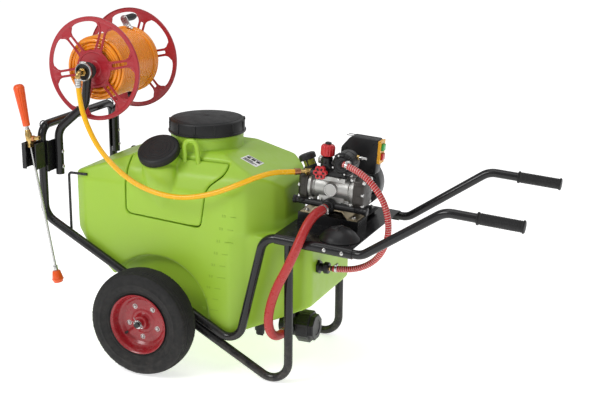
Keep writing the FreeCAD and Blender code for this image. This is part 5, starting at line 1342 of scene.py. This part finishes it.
drain.lathe([(0, 0), (17, 0), (17, 16), (0, 16)], P(350, -100, 112), Z_AXIS, 8, soft=1.5)
drain.lathe([(0, 16), (21, 16), (21, 40), (0, 40)], P(350, -100, 112), Z_AXIS, 48, soft=1)
drain.box((338, -103, 104.5), (362, -97, 113), 1.5)
drain.object("drain_plug_moulded", "cover", "chassis", "drain_plug", sharp=38)
tee = Build()
tee.hexagon(P(592 + 44.6, -130, 420), P(592 + 50, -130, 420), 19)
tee.object("return_lock_nut", "brass", sharp=38)

# weld beads of the frame
welds = Build()


def bead(centre, axis, r):
    a, u, v = frame_axes(axis)
    pts = [centre + (u * math.cos(t) + v * math.sin(t)) * (r * MM)
           for t in [2 * math.pi * k / 40 for k in range(40)]]
    welds.sweep(pts, lambda i: 2.3 + 0.45 * math.sin(i * 2.1), 8, closed=True)


for s in (-1, 1):
    bead(P(-477, s * 235, 862), Y_AXIS, 16.4)
    for y, z in ((s * 249.5, 690), (s * 249.5, 806)):
        welds.sweep([P(-466 + k * 2.0, y, z) for k in range(9)], 2.2, 8)
    bead(P(0, s * 249.0, 200), Y_AXIS, 11.2)
welds.object("frame_weld_beads", "frame", sharp=0)

# ---- finish of the CAD nodes that stay in sight ----------------------------------------------------
FINISH = {"deck_cap": "cover", "frame_bolts": "steel", "reel_drum": "steel", "motor_rotor": "steel",
          "pump_crank": "steel", "motor_housing": "motor", "fan_cover": "fan", "motor_mounts": "rubber",
          "switch_plate": "amber",
          "button_green": "green", "button_red": "red", "pump_body": "alu", "pump_bracket": "zinc",
          "axle_clips": "steel",
          "lance_holder": "frame", "reel_bearings": "rubber"}
for name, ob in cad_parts.items():
    ob.data.materials.clear()
    ob.data.materials.append(M[FINISH.get(name, "frame")])

# ---- floor, light and backdrop ---------------------------------------------------------------------
floor_mesh = mesh_from([(-40, -40, 0), (40, -40, 0), (40, 40, 0), (-40, 40, 0)], [(0, 1, 2, 3)], "floor")
floor = bpy.data.objects.new("floor", floor_mesh)
bpy.context.scene.collection.objects.link(floor)
floor_white = material("studio_floor", (0.93, 0.93, 0.93), 0.75, vary=0.01, edge=0.0)
floor_white.node_tree.nodes["Principled BSDF"].inputs["Emission Color"].default_value = (1, 1, 1, 1)
floor_white.node_tree.nodes["Principled BSDF"].inputs["Emission Strength"].default_value = 0.66
floor_mesh.materials.append(floor_white)

world = bpy.data.worlds.new("studio")
bpy.context.scene.world = world
world.use_nodes = True
sky = world.node_tree.nodes["Background"]
sky.inputs["Color"].default_value = (1.0, 1.0, 1.0, 1)
sky.inputs["Strength"].default_value = 0.42
backdrop = node_of(world.node_tree, "ShaderNodeBackground", Color=(1.0, 1.0, 1.0, 1), Strength=1.0)
seen = node_of(world.node_tree, "ShaderNodeLightPath")
either = node_of(world.node_tree, "ShaderNodeMixShader")
world.node_tree.links.new(seen.outputs["Is Camera Ray"], either.inputs["Fac"])
world.node_tree.links.new(sky.outputs["Background"], either.inputs[1])
world.node_tree.links.new(backdrop.outputs["Background"], either.inputs[2])
world.node_tree.links.new(either.outputs["Shader"], world.node_tree.nodes["World Output"].inputs["Surface"])


def area_light(name, place, aim, size, power, color=(1, 1, 1)):
    light = bpy.data.lights.new(name, "AREA")
    light.shape = "RECTANGLE"
    light.size, light.size_y = size
    light.energy = power
    light.color = color
    ob = bpy.data.objects.new(name, light)
    ob.location = place
    ob.rotation_euler = (Vector(aim) - Vector(place)).to_track_quat("-Z", "Y").to_euler()
    bpy.context.scene.collection.objects.link(ob)
    return ob


area_light("key", (-2.2, -3.4, 3.6), (0, 0, 0.5), (1.8, 1.8), 86)
area_light("fill", (3.4, -2.2, 2.4), (0, 0, 0.5), (1.4, 2.4), 3)
area_light("rim_light", (0.5, 3.2, 3.2), (0, 0, 0.6), (3.0, 1.2), 14)
area_light("top", (0, -0.4, 4.2), (0, 0, 0.5), (2.4, 2.4), 28)
bpy.context.scene.view_settings.view_transform = "Standard"
bpy.context.scene.view_settings.look = "None"
bpy.context.scene.view_settings.exposure = 0.0
